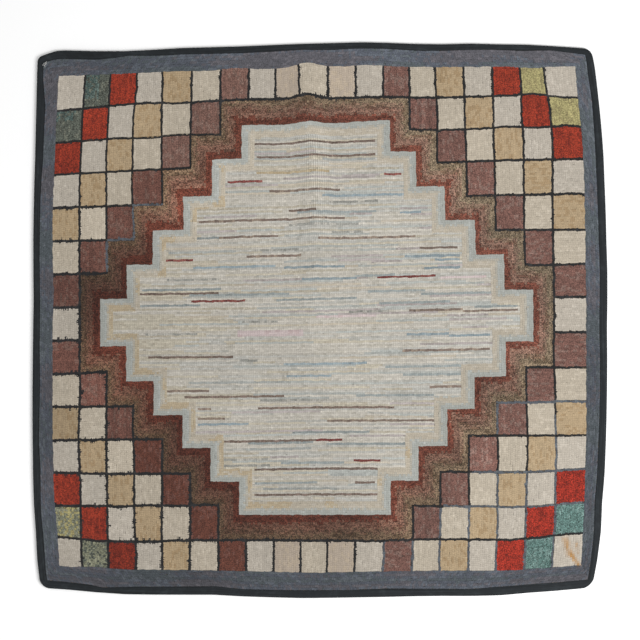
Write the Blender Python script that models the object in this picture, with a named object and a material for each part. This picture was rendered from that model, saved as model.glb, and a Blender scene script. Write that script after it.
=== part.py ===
"""Hooked rug: a hooked wool ground with a tape binding sewn round its edge.

Frame: the rug lies flat on the XY plane with its pile up (+Z). +X runs to the right and +Y to the top
of the rug as it is looked at from above. The origin is on the surface it lies on, under its middle.

Everything is laid out on a plain rectangle in mm, "the drawn rectangle", and then bent by one function,
`drawn_to_rug`, which gives the sides their bow and the top left corner its tuck. Lengths are in mm
until a mesh is made, and `depth` is a distance inwards from the rug's outer edge.
"""

import bpy
import bmesh
import numpy as np

MM = 0.001

# Overall size, measured at the middle of each side.
HALF_WIDTH = 664.0
HALF_HEIGHT = 641.5
CORNER_RADIUS = 22.0

# Where each side reaches furthest, in mm along it from its middle, and how far it falls back from there
# towards its two ends. A power of 1 is a straight slope, a higher one a rounder bow.
# Columns: side, peak, fall and power towards -X or -Y, fall and power towards +X or +Y.
SIDE_BOW = (
    ("left", -160.0, 19.0, 2.2, 12.0, 1.6),
    ("right", 0.0, 28.0, 2.2, 36.5, 2.8),
    ("bottom", -20.0, 23.0, 1.2, 22.0, 1.5),
    ("top", 104.0, 24.0, 1.0, 13.5, 1.6),
)

# Corners in the order right top, left top, left bottom, right bottom: 2 is a round arc, 4 a squarer one.
CORNER_SQUARENESS = (2.0, 4.0, 2.0, 2.0)

# The top left corner is tucked in: the top edge drops over its last stretch.
TUCK_LENGTH = 46.0
TUCK_DROP = 9.0
TUCK_REACH = 60.0

# Heights above the surface it lies on, and thicknesses.
PILE_TOP = 8.0
PILE_SHOULDER = 2.4     # radius at which the outermost loops lean over
HEM_SOFTNESS = 0.6      # chamfer on the folded edge of the hem
TAPE_THICKNESS = 1.0
TAPE_WIDTH = 16.0       # how far the tape reaches over the front and the back
TAPE_FOLD_RADIUS = 1.8
TAPE_TOP = 6.0
SEWING_GAP = 0.3        # clearance between tape and hem

# The soft ridge where the rug was folded: from the top edge down past the middle.
# Columns: y (mm), crest x (mm), height (mm).
RIDGE = (
    (592.0, -28.0, 0.0),
    (545.0, -29.0, 5.5),
    (470.0, -28.0, 6.0),
    (370.0, -15.0, 5.0),
    (200.0, -12.0, 3.0),
    (0.0, -10.0, 1.2),
    (-180.0, -8.0, 0.0),
)
RIDGE_HALF_WIDTH = 47.0
RIDGE_BAND = 62.0       # half width of the finer mesh columns that carry it

# Mesh steps.
SIDE_STEPS = 24
CORNER_STEPS = 6
RIDGE_STEPS = 12
FOLD_STEPS = 3

PANEL_COLOUR = (0.47, 0.42, 0.35, 1.0)
TAPE_COLOUR = (0.022, 0.031, 0.034, 1.0)


def side_fall(side, along, half_length):
    """Fall of a side in mm at `along`: fall * |s|^power, with s running from 0 at the peak to 1 at the
    corner, and the side's own fall and power towards that corner."""
    _, peak, fall_minus, power_minus, fall_plus, power_plus = next(row for row in SIDE_BOW if row[0] == side)
    offset = np.asarray(along, dtype=float) - peak
    towards_minus = offset < 0.0
    reach = np.where(towards_minus, half_length + peak, half_length - peak)
    fall = np.where(towards_minus, fall_minus, fall_plus)
    power = np.where(towards_minus, power_minus, power_plus)
    return fall * np.abs(offset / reach) ** power


def drawn_to_rug(x, y):
    """Bend the drawn rectangle into the rug's outline. A point moves inwards by its side's fall, scaled
    by how far out it lies, so the middle lines stay where they are."""
    x = np.asarray(x, dtype=float)
    y = np.asarray(y, dtype=float)
    fall_x = np.where(x < 0.0, side_fall("left", y, HALF_HEIGHT), side_fall("right", y, HALF_HEIGHT))
    fall_y = np.where(y < 0.0, side_fall("bottom", x, HALF_WIDTH), side_fall("top", x, HALF_WIDTH))
    near_left = np.clip((-x - HALF_WIDTH + TUCK_LENGTH) / TUCK_LENGTH, 0.0, 1.0)
    near_top = np.clip((y - HALF_HEIGHT + TUCK_REACH) / TUCK_REACH, 0.0, 1.0)
    bent_x = x - fall_x * x / HALF_WIDTH
    bent_y = y - fall_y * y / HALF_HEIGHT - TUCK_DROP * near_left * near_top
    return bent_x, bent_y


def side_stations(half_length):
    """Even places along a side between its two corner arcs."""
    straight = half_length - CORNER_RADIUS
    return np.linspace(-straight, straight, SIDE_STEPS + 1)


def column_stations():
    """X places of the mesh columns: even steps, finer ones across the ridge, and the start of the tuck."""
    crest = np.mean([row[1] for row in RIDGE])
    across = np.linspace(crest - RIDGE_BAND, crest + RIDGE_BAND, RIDGE_STEPS + 1)
    even = side_stations(HALF_WIDTH)
    clear = np.abs(even - crest) > RIDGE_BAND
    return np.sort(np.concatenate([even[clear], across, [TUCK_LENGTH - HALF_WIDTH]]))


def row_stations():
    """Y places of the mesh rows."""
    return side_stations(HALF_HEIGHT)


def edge_loop(depth):
    """Closed loop of (x, y) on the drawn rectangle at a depth, counter-clockwise from the right side's
    lower end: four sides, and at each corner a quarter of the curve |x|^n + |y|^n = r^n, with
    r = CORNER_RADIUS - depth and n the corner's squareness."""
    radius = CORNER_RADIUS - depth
    right, top = HALF_WIDTH - depth, HALF_HEIGHT - depth
    columns, rows = column_stations(), row_stations()
    centre_x, centre_y = HALF_WIDTH - CORNER_RADIUS, HALF_HEIGHT - CORNER_RADIUS
    sides = (
        (np.full(len(rows), right), rows),
        (columns[::-1], np.full(len(columns), top)),
        (np.full(len(rows), -right), rows[::-1]),
        (columns, np.full(len(columns), -top)),
    )
    corners = ((1, 1), (-1, 1), (-1, -1), (1, -1))
    turn = np.linspace(0.0, np.pi / 2, CORNER_STEPS + 1)[1:-1]
    xs, ys = [], []
    for number, ((side_x, side_y), (sign_x, sign_y)) in enumerate(zip(sides, corners)):
        power = 2.0 / CORNER_SQUARENESS[number]
        cosine, sine = np.cos(turn + number * np.pi / 2), np.sin(turn + number * np.pi / 2)
        xs += [side_x, sign_x * (centre_x + radius * np.abs(cosine) ** power)]
        ys += [side_y, sign_y * (centre_y + radius * np.abs(sine) ** power)]
    return np.concatenate(xs), np.concatenate(ys)


def ridge_height(x, y):
    """Lift of the cloth in mm: height(y) * cos^2(90 degrees * s), with s the distance from the crest over
    the half width, 1 at most. Crest and height run straight between the rows of RIDGE."""
    table = np.array(RIDGE)[::-1]
    crest = np.interp(y, table[:, 0], table[:, 1])
    height = np.interp(y, table[:, 0], table[:, 2])
    across = np.clip(np.abs(x - crest) / RIDGE_HALF_WIDTH, 0.0, 1.0)
    return height * np.cos(across * np.pi / 2) ** 2


def add_vertices(mesh, x, y, z):
    """Add points of the drawn rectangle, bent to the rug and in metres, and return them in order."""
    bent_x, bent_y = drawn_to_rug(x, y)
    z = np.broadcast_to(z, bent_x.shape)
    return [mesh.verts.new((px * MM, py * MM, pz * MM)) for px, py, pz in zip(bent_x, bent_y, z)]


def bridge(mesh, lower, upper):
    """Quads between two closed loops of equally many vertices."""
    count = len(lower)
    for i in range(count):
        j = (i + 1) % count
        mesh.faces.new((lower[i], lower[j], upper[j], upper[i]))


def finish_object(name, mesh, colour, roughness):
    """Merge the doubled corner points, turn the faces outwards, and put the mesh on a named object."""
    bmesh.ops.remove_doubles(mesh, verts=mesh.verts[:], dist=1e-6)
    bmesh.ops.dissolve_degenerate(mesh, edges=mesh.edges[:], dist=1e-7)
    bmesh.ops.recalc_face_normals(mesh, faces=mesh.faces[:])
    bmesh.ops.triangulate(mesh, faces=mesh.faces[:])
    data = bpy.data.meshes.new(name)
    mesh.to_mesh(data)
    mesh.free()
    data.shade_smooth()
    data.set_sharp_from_angle(angle=np.radians(35))
    material = bpy.data.materials.new(name)
    material.use_nodes = True
    shader = material.node_tree.nodes["Principled BSDF"]
    shader.inputs["Base Color"].default_value = colour
    shader.inputs["Roughness"].default_value = roughness
    shader.inputs["Metallic"].default_value = 0.0
    data.materials.append(material)
    obj = bpy.data.objects.new(name, data)
    bpy.context.scene.collection.objects.link(obj)
    return obj


def rounded_edge(centre_depth, centre_z, radius, start, stop):
    """(depth, z) along part of a circle, from `start` to `stop` in quarter turns: 0 is its top, 1 its
    outermost point and 2 its underside."""
    turn = np.linspace(start, stop, round(FOLD_STEPS * (stop - start)) + 1) * np.pi / 2
    return [(centre_depth - radius * np.sin(t), centre_z + radius * np.cos(t)) for t in turn]


def panel_rim():
    """(depth, z) of the panel's edge from the top of the pile, down its shoulder, round the thin hem
    that lies inside the tape, and back to the underside."""
    pile_edge = TAPE_WIDTH + SEWING_GAP
    hem_edge = TAPE_THICKNESS + SEWING_GAP
    hem_top = TAPE_TOP - TAPE_THICKNESS - SEWING_GAP
    hem_bottom = TAPE_THICKNESS + SEWING_GAP
    shoulder = rounded_edge(pile_edge + PILE_SHOULDER, PILE_TOP - PILE_SHOULDER, PILE_SHOULDER, 0, 1)
    return [
        (CORNER_RADIUS, PILE_TOP),
        *shoulder,
        (pile_edge, hem_top),
        (hem_edge + HEM_SOFTNESS, hem_top),
        (hem_edge, hem_top - HEM_SOFTNESS),
        (hem_edge, hem_bottom + HEM_SOFTNESS),
        (hem_edge + HEM_SOFTNESS, hem_bottom),
        (pile_edge, hem_bottom),
        (pile_edge + SEWING_GAP, 0.0),
        (CORNER_RADIUS, 0.0),
    ]


def add_panel_face(mesh, height):
    """The panel's middle, a grid at a height that rises and falls with the ridge."""
    columns, rows = column_stations(), row_stations()
    grid_x, grid_y = np.meshgrid(columns, rows)
    lift = ridge_height(grid_x, grid_y)
    verts = add_vertices(mesh, grid_x.ravel(), grid_y.ravel(), (height + lift).ravel())
    width = len(columns)
    for j in range(len(rows) - 1):
        for i in range(width - 1):
            corner = j * width + i
            mesh.faces.new((verts[corner], verts[corner + 1], verts[corner + width + 1], verts[corner + width]))


def make_hooked_panel():
    """The hooked ground: one slab, thick where the loops stand and thin at its hem."""
    mesh = bmesh.new()
    loops = [add_vertices(mesh, *edge_loop(depth), height) for depth, height in panel_rim()]
    for lower, upper in zip(loops, loops[1:]):
        bridge(mesh, lower, upper)
    add_panel_face(mesh, PILE_TOP)
    add_panel_face(mesh, 0.0)
    return finish_object("hooked_panel", mesh, PANEL_COLOUR, 0.95)


def tape_section():
    """(depth, z) round the folded tape: a U that opens inwards, with a soft outer fold."""
    radius = TAPE_FOLD_RADIUS
    return [
        *rounded_edge(radius, TAPE_TOP - radius, radius, 0, 1),
        *rounded_edge(radius, radius, radius, 1, 2),
        (TAPE_WIDTH, 0.0),
        (TAPE_WIDTH, TAPE_THICKNESS),
        (TAPE_THICKNESS, TAPE_THICKNESS),
        (TAPE_THICKNESS, TAPE_TOP - TAPE_THICKNESS),
        (TAPE_WIDTH, TAPE_TOP - TAPE_THICKNESS),
        (TAPE_WIDTH, TAPE_TOP),
    ]


def make_edge_binding():
    """The tape: its U section carried round the edge as one closed ring."""
    mesh = bmesh.new()
    loops = [add_vertices(mesh, *edge_loop(depth), height) for depth, height in tape_section()]
    for lower, upper in zip(loops, loops[1:] + loops[:1]):
        bridge(mesh, lower, upper)
    return finish_object("edge_binding", mesh, TAPE_COLOUR, 0.85)


def main():
    for obj in list(bpy.data.objects):
        bpy.data.objects.remove(obj, do_unlink=True)
    make_hooked_panel()
    make_edge_binding()


main()
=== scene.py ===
"""Looks of a hooked rug: wool yarn hooked in loops through a woven foundation, its edge bound with tape.

Three spaces are used. Pattern space counts the drawn blocks: u in columns from the left and v in rows from
the top, with the hooked border between 0 and -1 (or past the last block) and the hem under the tape past
that. Drawn space is the rug's plain rectangle in mm before its sides bow. Rug space is where a point really
lies, in mm, with +X to the right, +Y to the top of the rug and +Z up out of the pile. The meshes are in
metres.
"""

import bpy
import numpy as np
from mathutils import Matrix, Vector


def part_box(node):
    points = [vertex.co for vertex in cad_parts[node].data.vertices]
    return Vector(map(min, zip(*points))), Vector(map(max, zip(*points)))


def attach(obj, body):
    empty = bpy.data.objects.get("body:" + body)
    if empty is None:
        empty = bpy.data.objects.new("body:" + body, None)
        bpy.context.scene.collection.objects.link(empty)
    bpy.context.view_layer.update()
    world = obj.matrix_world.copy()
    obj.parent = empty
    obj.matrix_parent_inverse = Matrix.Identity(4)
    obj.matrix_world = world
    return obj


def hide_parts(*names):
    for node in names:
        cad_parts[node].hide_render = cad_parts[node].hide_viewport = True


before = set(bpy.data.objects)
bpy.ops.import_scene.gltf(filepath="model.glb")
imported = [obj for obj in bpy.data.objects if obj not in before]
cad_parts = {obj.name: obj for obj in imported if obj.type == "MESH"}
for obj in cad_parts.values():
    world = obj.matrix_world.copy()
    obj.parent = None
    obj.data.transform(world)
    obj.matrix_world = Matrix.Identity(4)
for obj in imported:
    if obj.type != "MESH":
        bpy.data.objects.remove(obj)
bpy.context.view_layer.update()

MM = 0.001

# ------------------------------------------------------------------ sizes, in mm

BINDING_LOW, BINDING_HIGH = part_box("edge_binding")
HALF_WIDTH = (BINDING_HIGH.x - BINDING_LOW.x) / 2 / MM
HALF_HEIGHT = (BINDING_HIGH.y - BINDING_LOW.y) / 2 / MM
CORNER_RADIUS = 22.0
CORNER_SQUARENESS = (2.6, 4.0, 2.0, 1.7)     # right top, left top, left bottom, right bottom

# Where each side reaches furthest, and how far it falls back from there towards its two ends.
# Columns: peak, fall and power towards -X or -Y, fall and power towards +X or +Y.
SIDE_BOW = {
    "left": (-160.0, 19.0, 2.2, 12.0, 1.6),
    "right": (0.0, 28.0, 2.6, 36.5, 2.8),
    "bottom": (-20.0, 23.0, 1.6, 22.0, 2.0),
    "top": (104.0, 24.0, 1.0, 13.5, 1.6),
}
TUCK_LENGTH, TUCK_DROP, TUCK_REACH = 46.0, 9.0, 60.0     # the tucked left top corner
# The soft edge's own waves, in mm outwards of that bow: places along the side, offsets there.
EDGE_WAVES = {
    "left": (
        (-640, -577, -507, -438, -369, -300, -92, 47, 116, 186, 255, 324, 394, 640),
        (0.0, 2.5, 1.4, 2.3, 1.6, 0.6, -0.5, -1.3, 0.0, 1.3, 1.4, 1.2, 0.4, 0.0),
    ),
    "right": (
        (-640, -577, -507, -438, -369, -230, -92, -22, 47, 116, 186, 324, 394, 532, 601, 640),
        (-6.0, -1.0, 1.6, -0.4, 1.6, 1.5, 1.2, 0.5, 1.4, 1.6, 0.3, 0.2, 1.4, 1.4, 2.1, 0.0),
    ),
    "bottom": (
        (-664, -600, -530, -461, -392, -323, -253, -184, -45, 93, 232, 301, 370, 440, 509, 578, 664),
        (0.0, 0.5, 3.2, 4.4, 2.3, -0.2, -2.5, -0.7, 0.7, -0.4, -0.7, 0.5, 3.0, 4.2, 1.6, 0.5, -2.0),
    ),
    "top": (
        (-664, -625, -600, -530, -461, -392, -323, -184, -45, 93, 162, 232, 301, 370, 440, 509, 578, 664),
        (0.0, 4.0, 4.6, 0.7, -1.6, -0.5, 1.4, 0.9, 2.3, 1.4, 0.5, -1.2, -0.7, 2.3, 2.5, 3.7, 2.3, 0.0),
    ),
}

# The soft ridge of an old fold. Columns: y, crest x, height.
RIDGE = (
    (592.0, -28.0, 0.0), (545.0, -29.0, 5.5), (470.0, -28.0, 6.0), (370.0, -15.0, 5.0), (200.0, -12.0, 3.0),
    (0.0, -10.0, 1.2), (-180.0, -8.0, 0.0),
)
RIDGE_HALF_WIDTH = 47.0

# Rows that cross the fold are drawn up the rug there. Crest, half width and fade give heights y, then the
# value at each: the x where the rows rise most, the bump's half width, and the share that is left of it.
CREST = ((330.0, 500.0), (-10.0, -29.0))
PUCKER_RISE = 9.5
PUCKER_HALF_WIDTH = ((350.0, 500.0), (38.0, 30.0))
PUCKER_TROUGHS = ((-85.0, 45.0, 1.2), (60.0, 35.0, 0.8))     # mm right of the crest, half width, depth
PUCKER_FADE = (
    (60.0, 200.0, 300.0, 400.0, 460.0, 510.0, 585.0, 630.0),
    (0.0, 0.3, 0.45, 0.6, 0.8, 1.0, 1.0, 0.0),
)

# Width of the tape over each edge: places along the side, widths there.
TAPE_WIDTHS = {
    "left": (
        (-640, -577, -480, -369, -299, -161, -60, 100, 300, 393, 470, 532, 600, 640),
        (18.0, 19.0, 16.0, 18.0, 15.0, 18.0, 16.2, 15.2, 15.6, 19.0, 20.5, 22.0, 15.0, 15.0),
    ),
    "right": (
        (-640, -577, -440, -300, -161, 0, 150, 400, 532, 600, 640),
        (16.0, 17.0, 19.0, 18.5, 17.2, 19.0, 18.5, 19.7, 17.7, 20.0, 18.0),
    ),
    "bottom": (
        (-664, -560, -530, -460, -252, -183, -44, 71, 163, 256, 371, 441, 664),
        (20.0, 18.0, 13.5, 19.0, 21.0, 17.5, 19.0, 18.0, 20.5, 18.0, 17.0, 21.0, 21.0),
    ),
    "top": (
        (-610, -530, -460, -391, -183, -114, -44, 25, 94, 163, 256, 371, 441, 510, 579, 664),
        (21.0, 21.0, 12.0, 15.5, 16.7, 16.0, 14.3, 16.5, 15.0, 14.5, 16.5, 15.0, 13.5, 15.5, 11.0, 16.0),
    ),
}
HEM_DEPTH = 1.4             # the hem's folded edge, inside the tape
HEM_BOTTOM = 1.3            # the hem's underside, on the tape's lower layer
GROUND_TOP = 5.6            # top of the foundation between the loops
PILE_TOP = 8.0

COLUMNS, ROWS = 19, 15
CELL_WIDTH, CELL_HEIGHT = 64.8, 78.6
STEPS = 6                   # of the stair between a corner's blocks and the lozenge
LAST_RANK = 6               # a corner's blocks lie this many steps from it or fewer
ROW_PITCH = 5.1             # between rows of loops
LOOP_PITCH = 5.0            # between the loops of a row
LONG_RUN = 40.0             # from this length on a row may have a loop more or less
COLUMN_PITCH = 5.15         # between the loops of the striped field's rows
FIELD_PITCH = 4.6           # between rows of the striped field
BORDER_ROWS = 7
BROWN_ROWS = 10
HALO_ROWS = 3               # rows in each of the two pale bands
LOZENGE_SIDES, LOZENGE_ENDS = 0.75, 0.74     # brown band's width in blocks
LINE_U, LINE_V = 2.4 / CELL_WIDTH, 2.7 / CELL_HEIGHT     # half an outline's width

# How the drawn grid really lies on the cloth, charted in mm from the rug's middle.
# Column lines: each row gives the row place v, then x of the column lines in LAY_U.
LAY_U = (0, 1, 3, 4, 5, 6, 8, 9, 10, 12, 14, 16, 18, 19)
LAY_X = (
    (0.5, -605, -544, -426, -366, -296, -229, -102, -48, 19, 147, 267, 399, 523, 595),
    (2.5, -614, -554, -432, -365, -299, -230, -103, -45, 20, 147, 271, 404, 538, 605),
    (4.5, -617, -555, -430, -363, -297, -232, -104, -43, 20, 150, 274, 406, 538, 613),
    (7.5, -617, -554, -428, -363, -299, -233, -104, -42, 20, 150, 278, 411, 542, 616),
    (11.0, -617, -557, -429, -363, -299, -234, -106, -43, 19, 150, 279, 410, 545, 616),
    (13.5, -608, -552, -428, -365, -299, -234, -106, -44, 18, 148, 279, 411, 544, 610),
    (14.5, -603, -550, -427, -364, -300, -234, -106, -44, 17, 145, 278, 409, 539, 606),
)
# Row lines: each row gives the column place u, then y of the row lines in LAY_V.
LAY_V = (0, 1, 1.7, 3, 5, 7, 9, 10, 11, 12, 13, 14, 15)
LAY_Y = (
    (0.0, 564, 483, 432, 336, 182, 31, -125, -200, -278, -354, -426, -500, -568),
    (2.5, 570, 498, 444, 344, 186, 33, -118, -199, -275, -355, -430, -511, -575),
    (5.0, 577, 504, 451, 352, 190, 35, -117, -198, -274, -354, -429, -508, -577),
    (7.5, 581, 512, 455, 358, 196, 37, -116, -196, -272, -352, -429, -508, -580),
    (9.5, 587, 513, 456, 358, 199, 40, -115, -194, -269, -350, -428, -509, -583),
    (12.0, 587, 516, 466, 364, 203, 45, -113, -193, -268, -350, -428, -508, -580),
    (14.0, 585, 514, 462, 364, 207, 48, -111, -193, -268, -350, -429, -506, -578),
    (16.5, 586, 519, 467, 370, 209, 53, -108, -190, -266, -351, -430, -507, -578),
    (19.0, 587, 516, 466, 373, 209, 54, -109, -189, -266, -343, -421, -492, -566),
)

# Single lines that were drawn off that grid. NUDGE_X: column line, row, mm to the right of it.
NUDGE_X = (
    (0, 2, 3), (0, 6, 3), (0, 12, -3), (1, 2, 2), (1, 9, 3), (1, 12, 2), (3, 0, 3), (3, 1, -2), (3, 3, -3),
    (3, 10, -3), (3, 14, 4), (4, 0, 3), (7, 0, 2), (12, 14, 3), (13, 13, 3), (13, 14, 3), (14, 1, 3),
    (14, 14, -2), (15, 3, 2), (16, 2, -2), (16, 11, 2), (16, 14, -2), (17, 0, 4), (17, 10, 2), (17, 11, 3),
    (17, 13, -2), (18, 0, -3), (18, 1, 2), (18, 8, -3), (18, 11, 2), (19, 0, -2), (19, 2, 2), (19, 3, 2),
)
# NUDGE_Y: row line, column, mm above it.
NUDGE_Y = (
    (0, 5, -2), (0, 6, 4), (0, 11, 3), (0, 17, -4), (1, 3, 2), (1, 4, -2), (1, 17, 6), (1, 18, -2),
    (2, 3, -3), (2, 4, 2), (2, 16, 3), (2, 18, 6), (4, 18, 2), (6, 17, -4), (6, 18, -2), (7, 0, -2),
    (10, 18, 3), (12, 0, 2), (12, 17, -2), (13, 0, -2), (13, 3, 3), (13, 5, 3), (13, 16, -2), (13, 17, -3),
    (14, 1, -3), (14, 3, -2), (14, 11, -2), (14, 18, 2), (15, 1, 3),
)

# How far the lozenge's edges stray from a plain stair, in mm. For each quarter: the upright edges, to
# the right, and the level edges, upwards, both from the rug's side towards its end.
LOZENGE_DRIFT = {
    "left top": ((0, -1, -6, -1, -1, 2), (-3, -2, -1, -6, -2, 0)),
    "right top": ((1, 1, 2, -1, -3, 0), (-2, 2, 4, 4, 6, 0)),
    "right bottom": ((1, 3, -3, 0, -2, -1), (0, 0, 7, -1, 0, 0)),
    "left bottom": ((0, -3, -4, -2, -2, 0), (3, -2, -1, 0, 0, 0)),
}

# Sizes of the materials' patterns.
PLY_WIDTH = 2.1             # coarser than the real 0.8, so that it shows
LINEN_THREAD = 1.5          # from thread to thread
TWILL_RIB = 1.8             # twice the real one, so that it shows
TWILL_SLANT = 35.0          # in degrees
TAPE_BANDS = (8.0, 260.0, 1.0)       # for each m: bands 125 mm long and about 4 mm wide
RUBBED_PATCHES = 45.0       # for each m: patches of about 22 mm
THREAD_TWISTS = 900.0       # for each m: one every 1.1 mm
WAVE_PERIOD = 0.314159      # a wave texture of scale 1 repeats every pi / 10 units

FLOOR_HALF = 6.0            # in m
FLOOR_Z = -0.0002           # in m
WORLD_STRENGTH = 0.72
SOFT_BOX_POWER = 95.0       # in W
SOFT_BOX_SIZE = 1.6         # in m
SOFT_BOX_PLACE = (2.3, -1.0, 2.2)    # in m
CAMERA_LENS, CAMERA_SENSOR = 85.0, 36.0
VIEW_WIDTH = 1.478          # in m
VIEW_CENTRE = (0.0008, 0.0008)       # in m

LOOP_PIECES = (
    "upper_block_loops",
    "lower_block_loops",
    "outline_loops",
    "brown_loops",
    "halo_loops",
    "upper_field_loops",
    "lower_field_loops",
    "border_loops",
)

SEED = 1927

# Slow drifts over the rug: wavelength in mm and seed. Each is a sum of WAVE_COUNT waves, whose own
# lengths lie between these two shares of it.
WAVE_COUNT, WAVE_SPREAD = 7, (0.7, 1.5)
DRIFTS = {
    "wobble_x": (28.0, 12),
    "wobble_y": (28.0, 14),
    "stray": (16.0, 15),
    "dye": (260.0, 31),
    "fleck_bands": (17.0, 32),
    "along_run": (30.0, 33),
    "brown": (130.0, 41),
    "border": (150.0, 42),
    "honey": (75.0, 43),
    "tape": (60.0, 51),
    "stain": (14.0, 61),
}
WOBBLE = 0.4                # of the hand-drawn lines, in mm


def linear(text):
    """An sRGB hex value such as "#c9c0b2" as three linear numbers."""
    value = np.array([int(text[i:i + 2], 16) for i in (1, 3, 5)]) / 255.0
    return np.where(value <= 0.04045, value / 12.92, ((value + 0.055) / 1.055) ** 2.4)


# ------------------------------------------------------------------ from pattern space to the rug

def side_fall(side, along, half_length):
    """Fall of a side in mm at `along`: fall * |s|^power, with s running from 0 at the peak to 1 at the
    corner, and the side's own fall and power towards that corner, less the edge's waves."""
    peak, fall_minus, power_minus, fall_plus, power_plus = SIDE_BOW[side]
    offset = np.clip(along, -half_length, half_length) - peak
    towards_minus = offset < 0.0
    reach = np.where(towards_minus, half_length + peak, half_length - peak)
    fall = np.where(towards_minus, fall_minus, fall_plus)
    power = np.where(towards_minus, power_minus, power_plus)
    return fall * np.abs(offset / reach) ** power - np.interp(along, *EDGE_WAVES[side])


def round_corner(x, y):
    """Turn the rectangle's square corners into arcs. Inside each corner square of CORNER_RADIUS a point
    is pulled towards the square's inner corner by max(|p|, |q|) / (|p|^n + |q|^n)^(1/n)."""
    p = np.abs(x) - (HALF_WIDTH - CORNER_RADIUS)
    q = np.abs(y) - (HALF_HEIGHT - CORNER_RADIUS)
    right_top, left_top, left_bottom, right_bottom = CORNER_SQUARENESS
    upper = np.where(x > 0.0, right_top, left_top)
    lower = np.where(x > 0.0, right_bottom, left_bottom)
    n = np.where(y > 0.0, upper, lower)
    inside = (p > 1e-6) & (q > 1e-6)
    p_safe, q_safe = np.where(inside, p, 1.0), np.where(inside, q, 1.0)
    pull = np.maximum(p_safe, q_safe) / (p_safe ** n + q_safe ** n) ** (1.0 / n)
    round_x = np.sign(x) * (HALF_WIDTH - CORNER_RADIUS + p * pull)
    round_y = np.sign(y) * (HALF_HEIGHT - CORNER_RADIUS + q * pull)
    return np.where(inside, round_x, x), np.where(inside, round_y, y)


def drawn_to_rug(x, y):
    """Bend the drawn rectangle into the rug's outline: round its corners, pull each side in by its fall
    scaled by how far out the point lies, and drop the tucked corner."""
    x, y = round_corner(np.asarray(x, dtype=float), np.asarray(y, dtype=float))
    fall_x = np.where(x < 0.0, side_fall("left", y, HALF_HEIGHT), side_fall("right", y, HALF_HEIGHT))
    fall_y = np.where(y < 0.0, side_fall("bottom", x, HALF_WIDTH), side_fall("top", x, HALF_WIDTH))
    near_left = np.clip((-x - HALF_WIDTH + TUCK_LENGTH) / TUCK_LENGTH, 0.0, 1.0)
    near_top = np.clip((y - HALF_HEIGHT + TUCK_REACH) / TUCK_REACH, 0.0, 1.0)
    bent_x = x - fall_x * x / HALF_WIDTH
    bent_y = y - fall_y * y / HALF_HEIGHT - TUCK_DROP * near_left * near_top
    return bent_x, bent_y


def read_table(rows, columns, at_row, at_column):
    """Bilinear value of a table whose rows start with their own place and whose columns lie at
    `columns`."""
    rows = np.array(rows)
    places, values = rows[:, 0], rows[:, 1:]
    columns = np.array(columns)
    i = np.clip(np.searchsorted(places, at_row, side="right") - 1, 0, len(places) - 2)
    j = np.clip(np.searchsorted(columns, at_column, side="right") - 1, 0, len(columns) - 2)
    s = (at_row - places[i]) / (places[i + 1] - places[i])
    t = (at_column - columns[j]) / (columns[j + 1] - columns[j])
    upper = values[i, j] * (1 - t) + values[i, j + 1] * t
    lower = values[i + 1, j] * (1 - t) + values[i + 1, j + 1] * t
    return upper * (1 - s) + lower * s


def nudge(table, line, block):
    """Bilinear value of the offsets in `table`, which belong to whole lines halfway along their blocks
    and are 0 where none is charted."""
    offsets = np.zeros((COLUMNS + 2, COLUMNS + 2))
    for at_line, at_block, value in table:
        offsets[at_line, at_block] = value
    line, block = np.clip(line, 0.0, COLUMNS), np.clip(block - 0.5, 0.0, COLUMNS)
    i, j = line.astype(int), block.astype(int)
    s, t = line - i, block - j
    near = offsets[i, j] * (1 - t) + offsets[i, j + 1] * t
    far = offsets[i + 1, j] * (1 - t) + offsets[i + 1, j + 1] * t
    return near * (1 - s) + far * s


def unevenness(x, y, name):
    """Smooth drift with a standard deviation of 1: the sum of WAVE_COUNT sine waves, each with a seeded
    heading, phase and wavelength near the one in DRIFTS, over the square root of half their number."""
    length, seed = DRIFTS[name]
    rng = np.random.default_rng(seed)
    total = np.zeros(np.broadcast(x, y).shape)
    for _ in range(WAVE_COUNT):
        heading, phase = rng.uniform(0.0, 2 * np.pi, 2)
        turns = 2 * np.pi / (length * rng.uniform(*WAVE_SPREAD))
        total += np.sin(turns * (x * np.cos(heading) + y * np.sin(heading)) + phase)
    return total / np.sqrt(WAVE_COUNT / 2)


def pucker(x, y):
    """How far the rows are drawn up the rug in mm at the old fold: a bell over its crest, less a shallow
    bell on either side, fading out downwards and at the tape."""
    offset = x - np.interp(y, *CREST)
    bump = PUCKER_RISE * np.exp(-(offset / np.interp(y, *PUCKER_HALF_WIDTH)) ** 2)
    troughs = sum(
        depth * np.exp(-((offset - place) / width) ** 2) for place, width, depth in PUCKER_TROUGHS
    )
    return np.interp(y, *PUCKER_FADE) * (bump - troughs)


def tape_widths(x, y):
    """Width of the tape in mm over the left or right edge, whichever is nearer to (x, y), and over the
    bottom or top edge."""
    left, right = np.interp(y, *TAPE_WIDTHS["left"]), np.interp(y, *TAPE_WIDTHS["right"])
    bottom, top = np.interp(x, *TAPE_WIDTHS["bottom"]), np.interp(x, *TAPE_WIDTHS["top"])
    return np.where(x < 0, left, right), np.where(y < 0, bottom, top)


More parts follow.
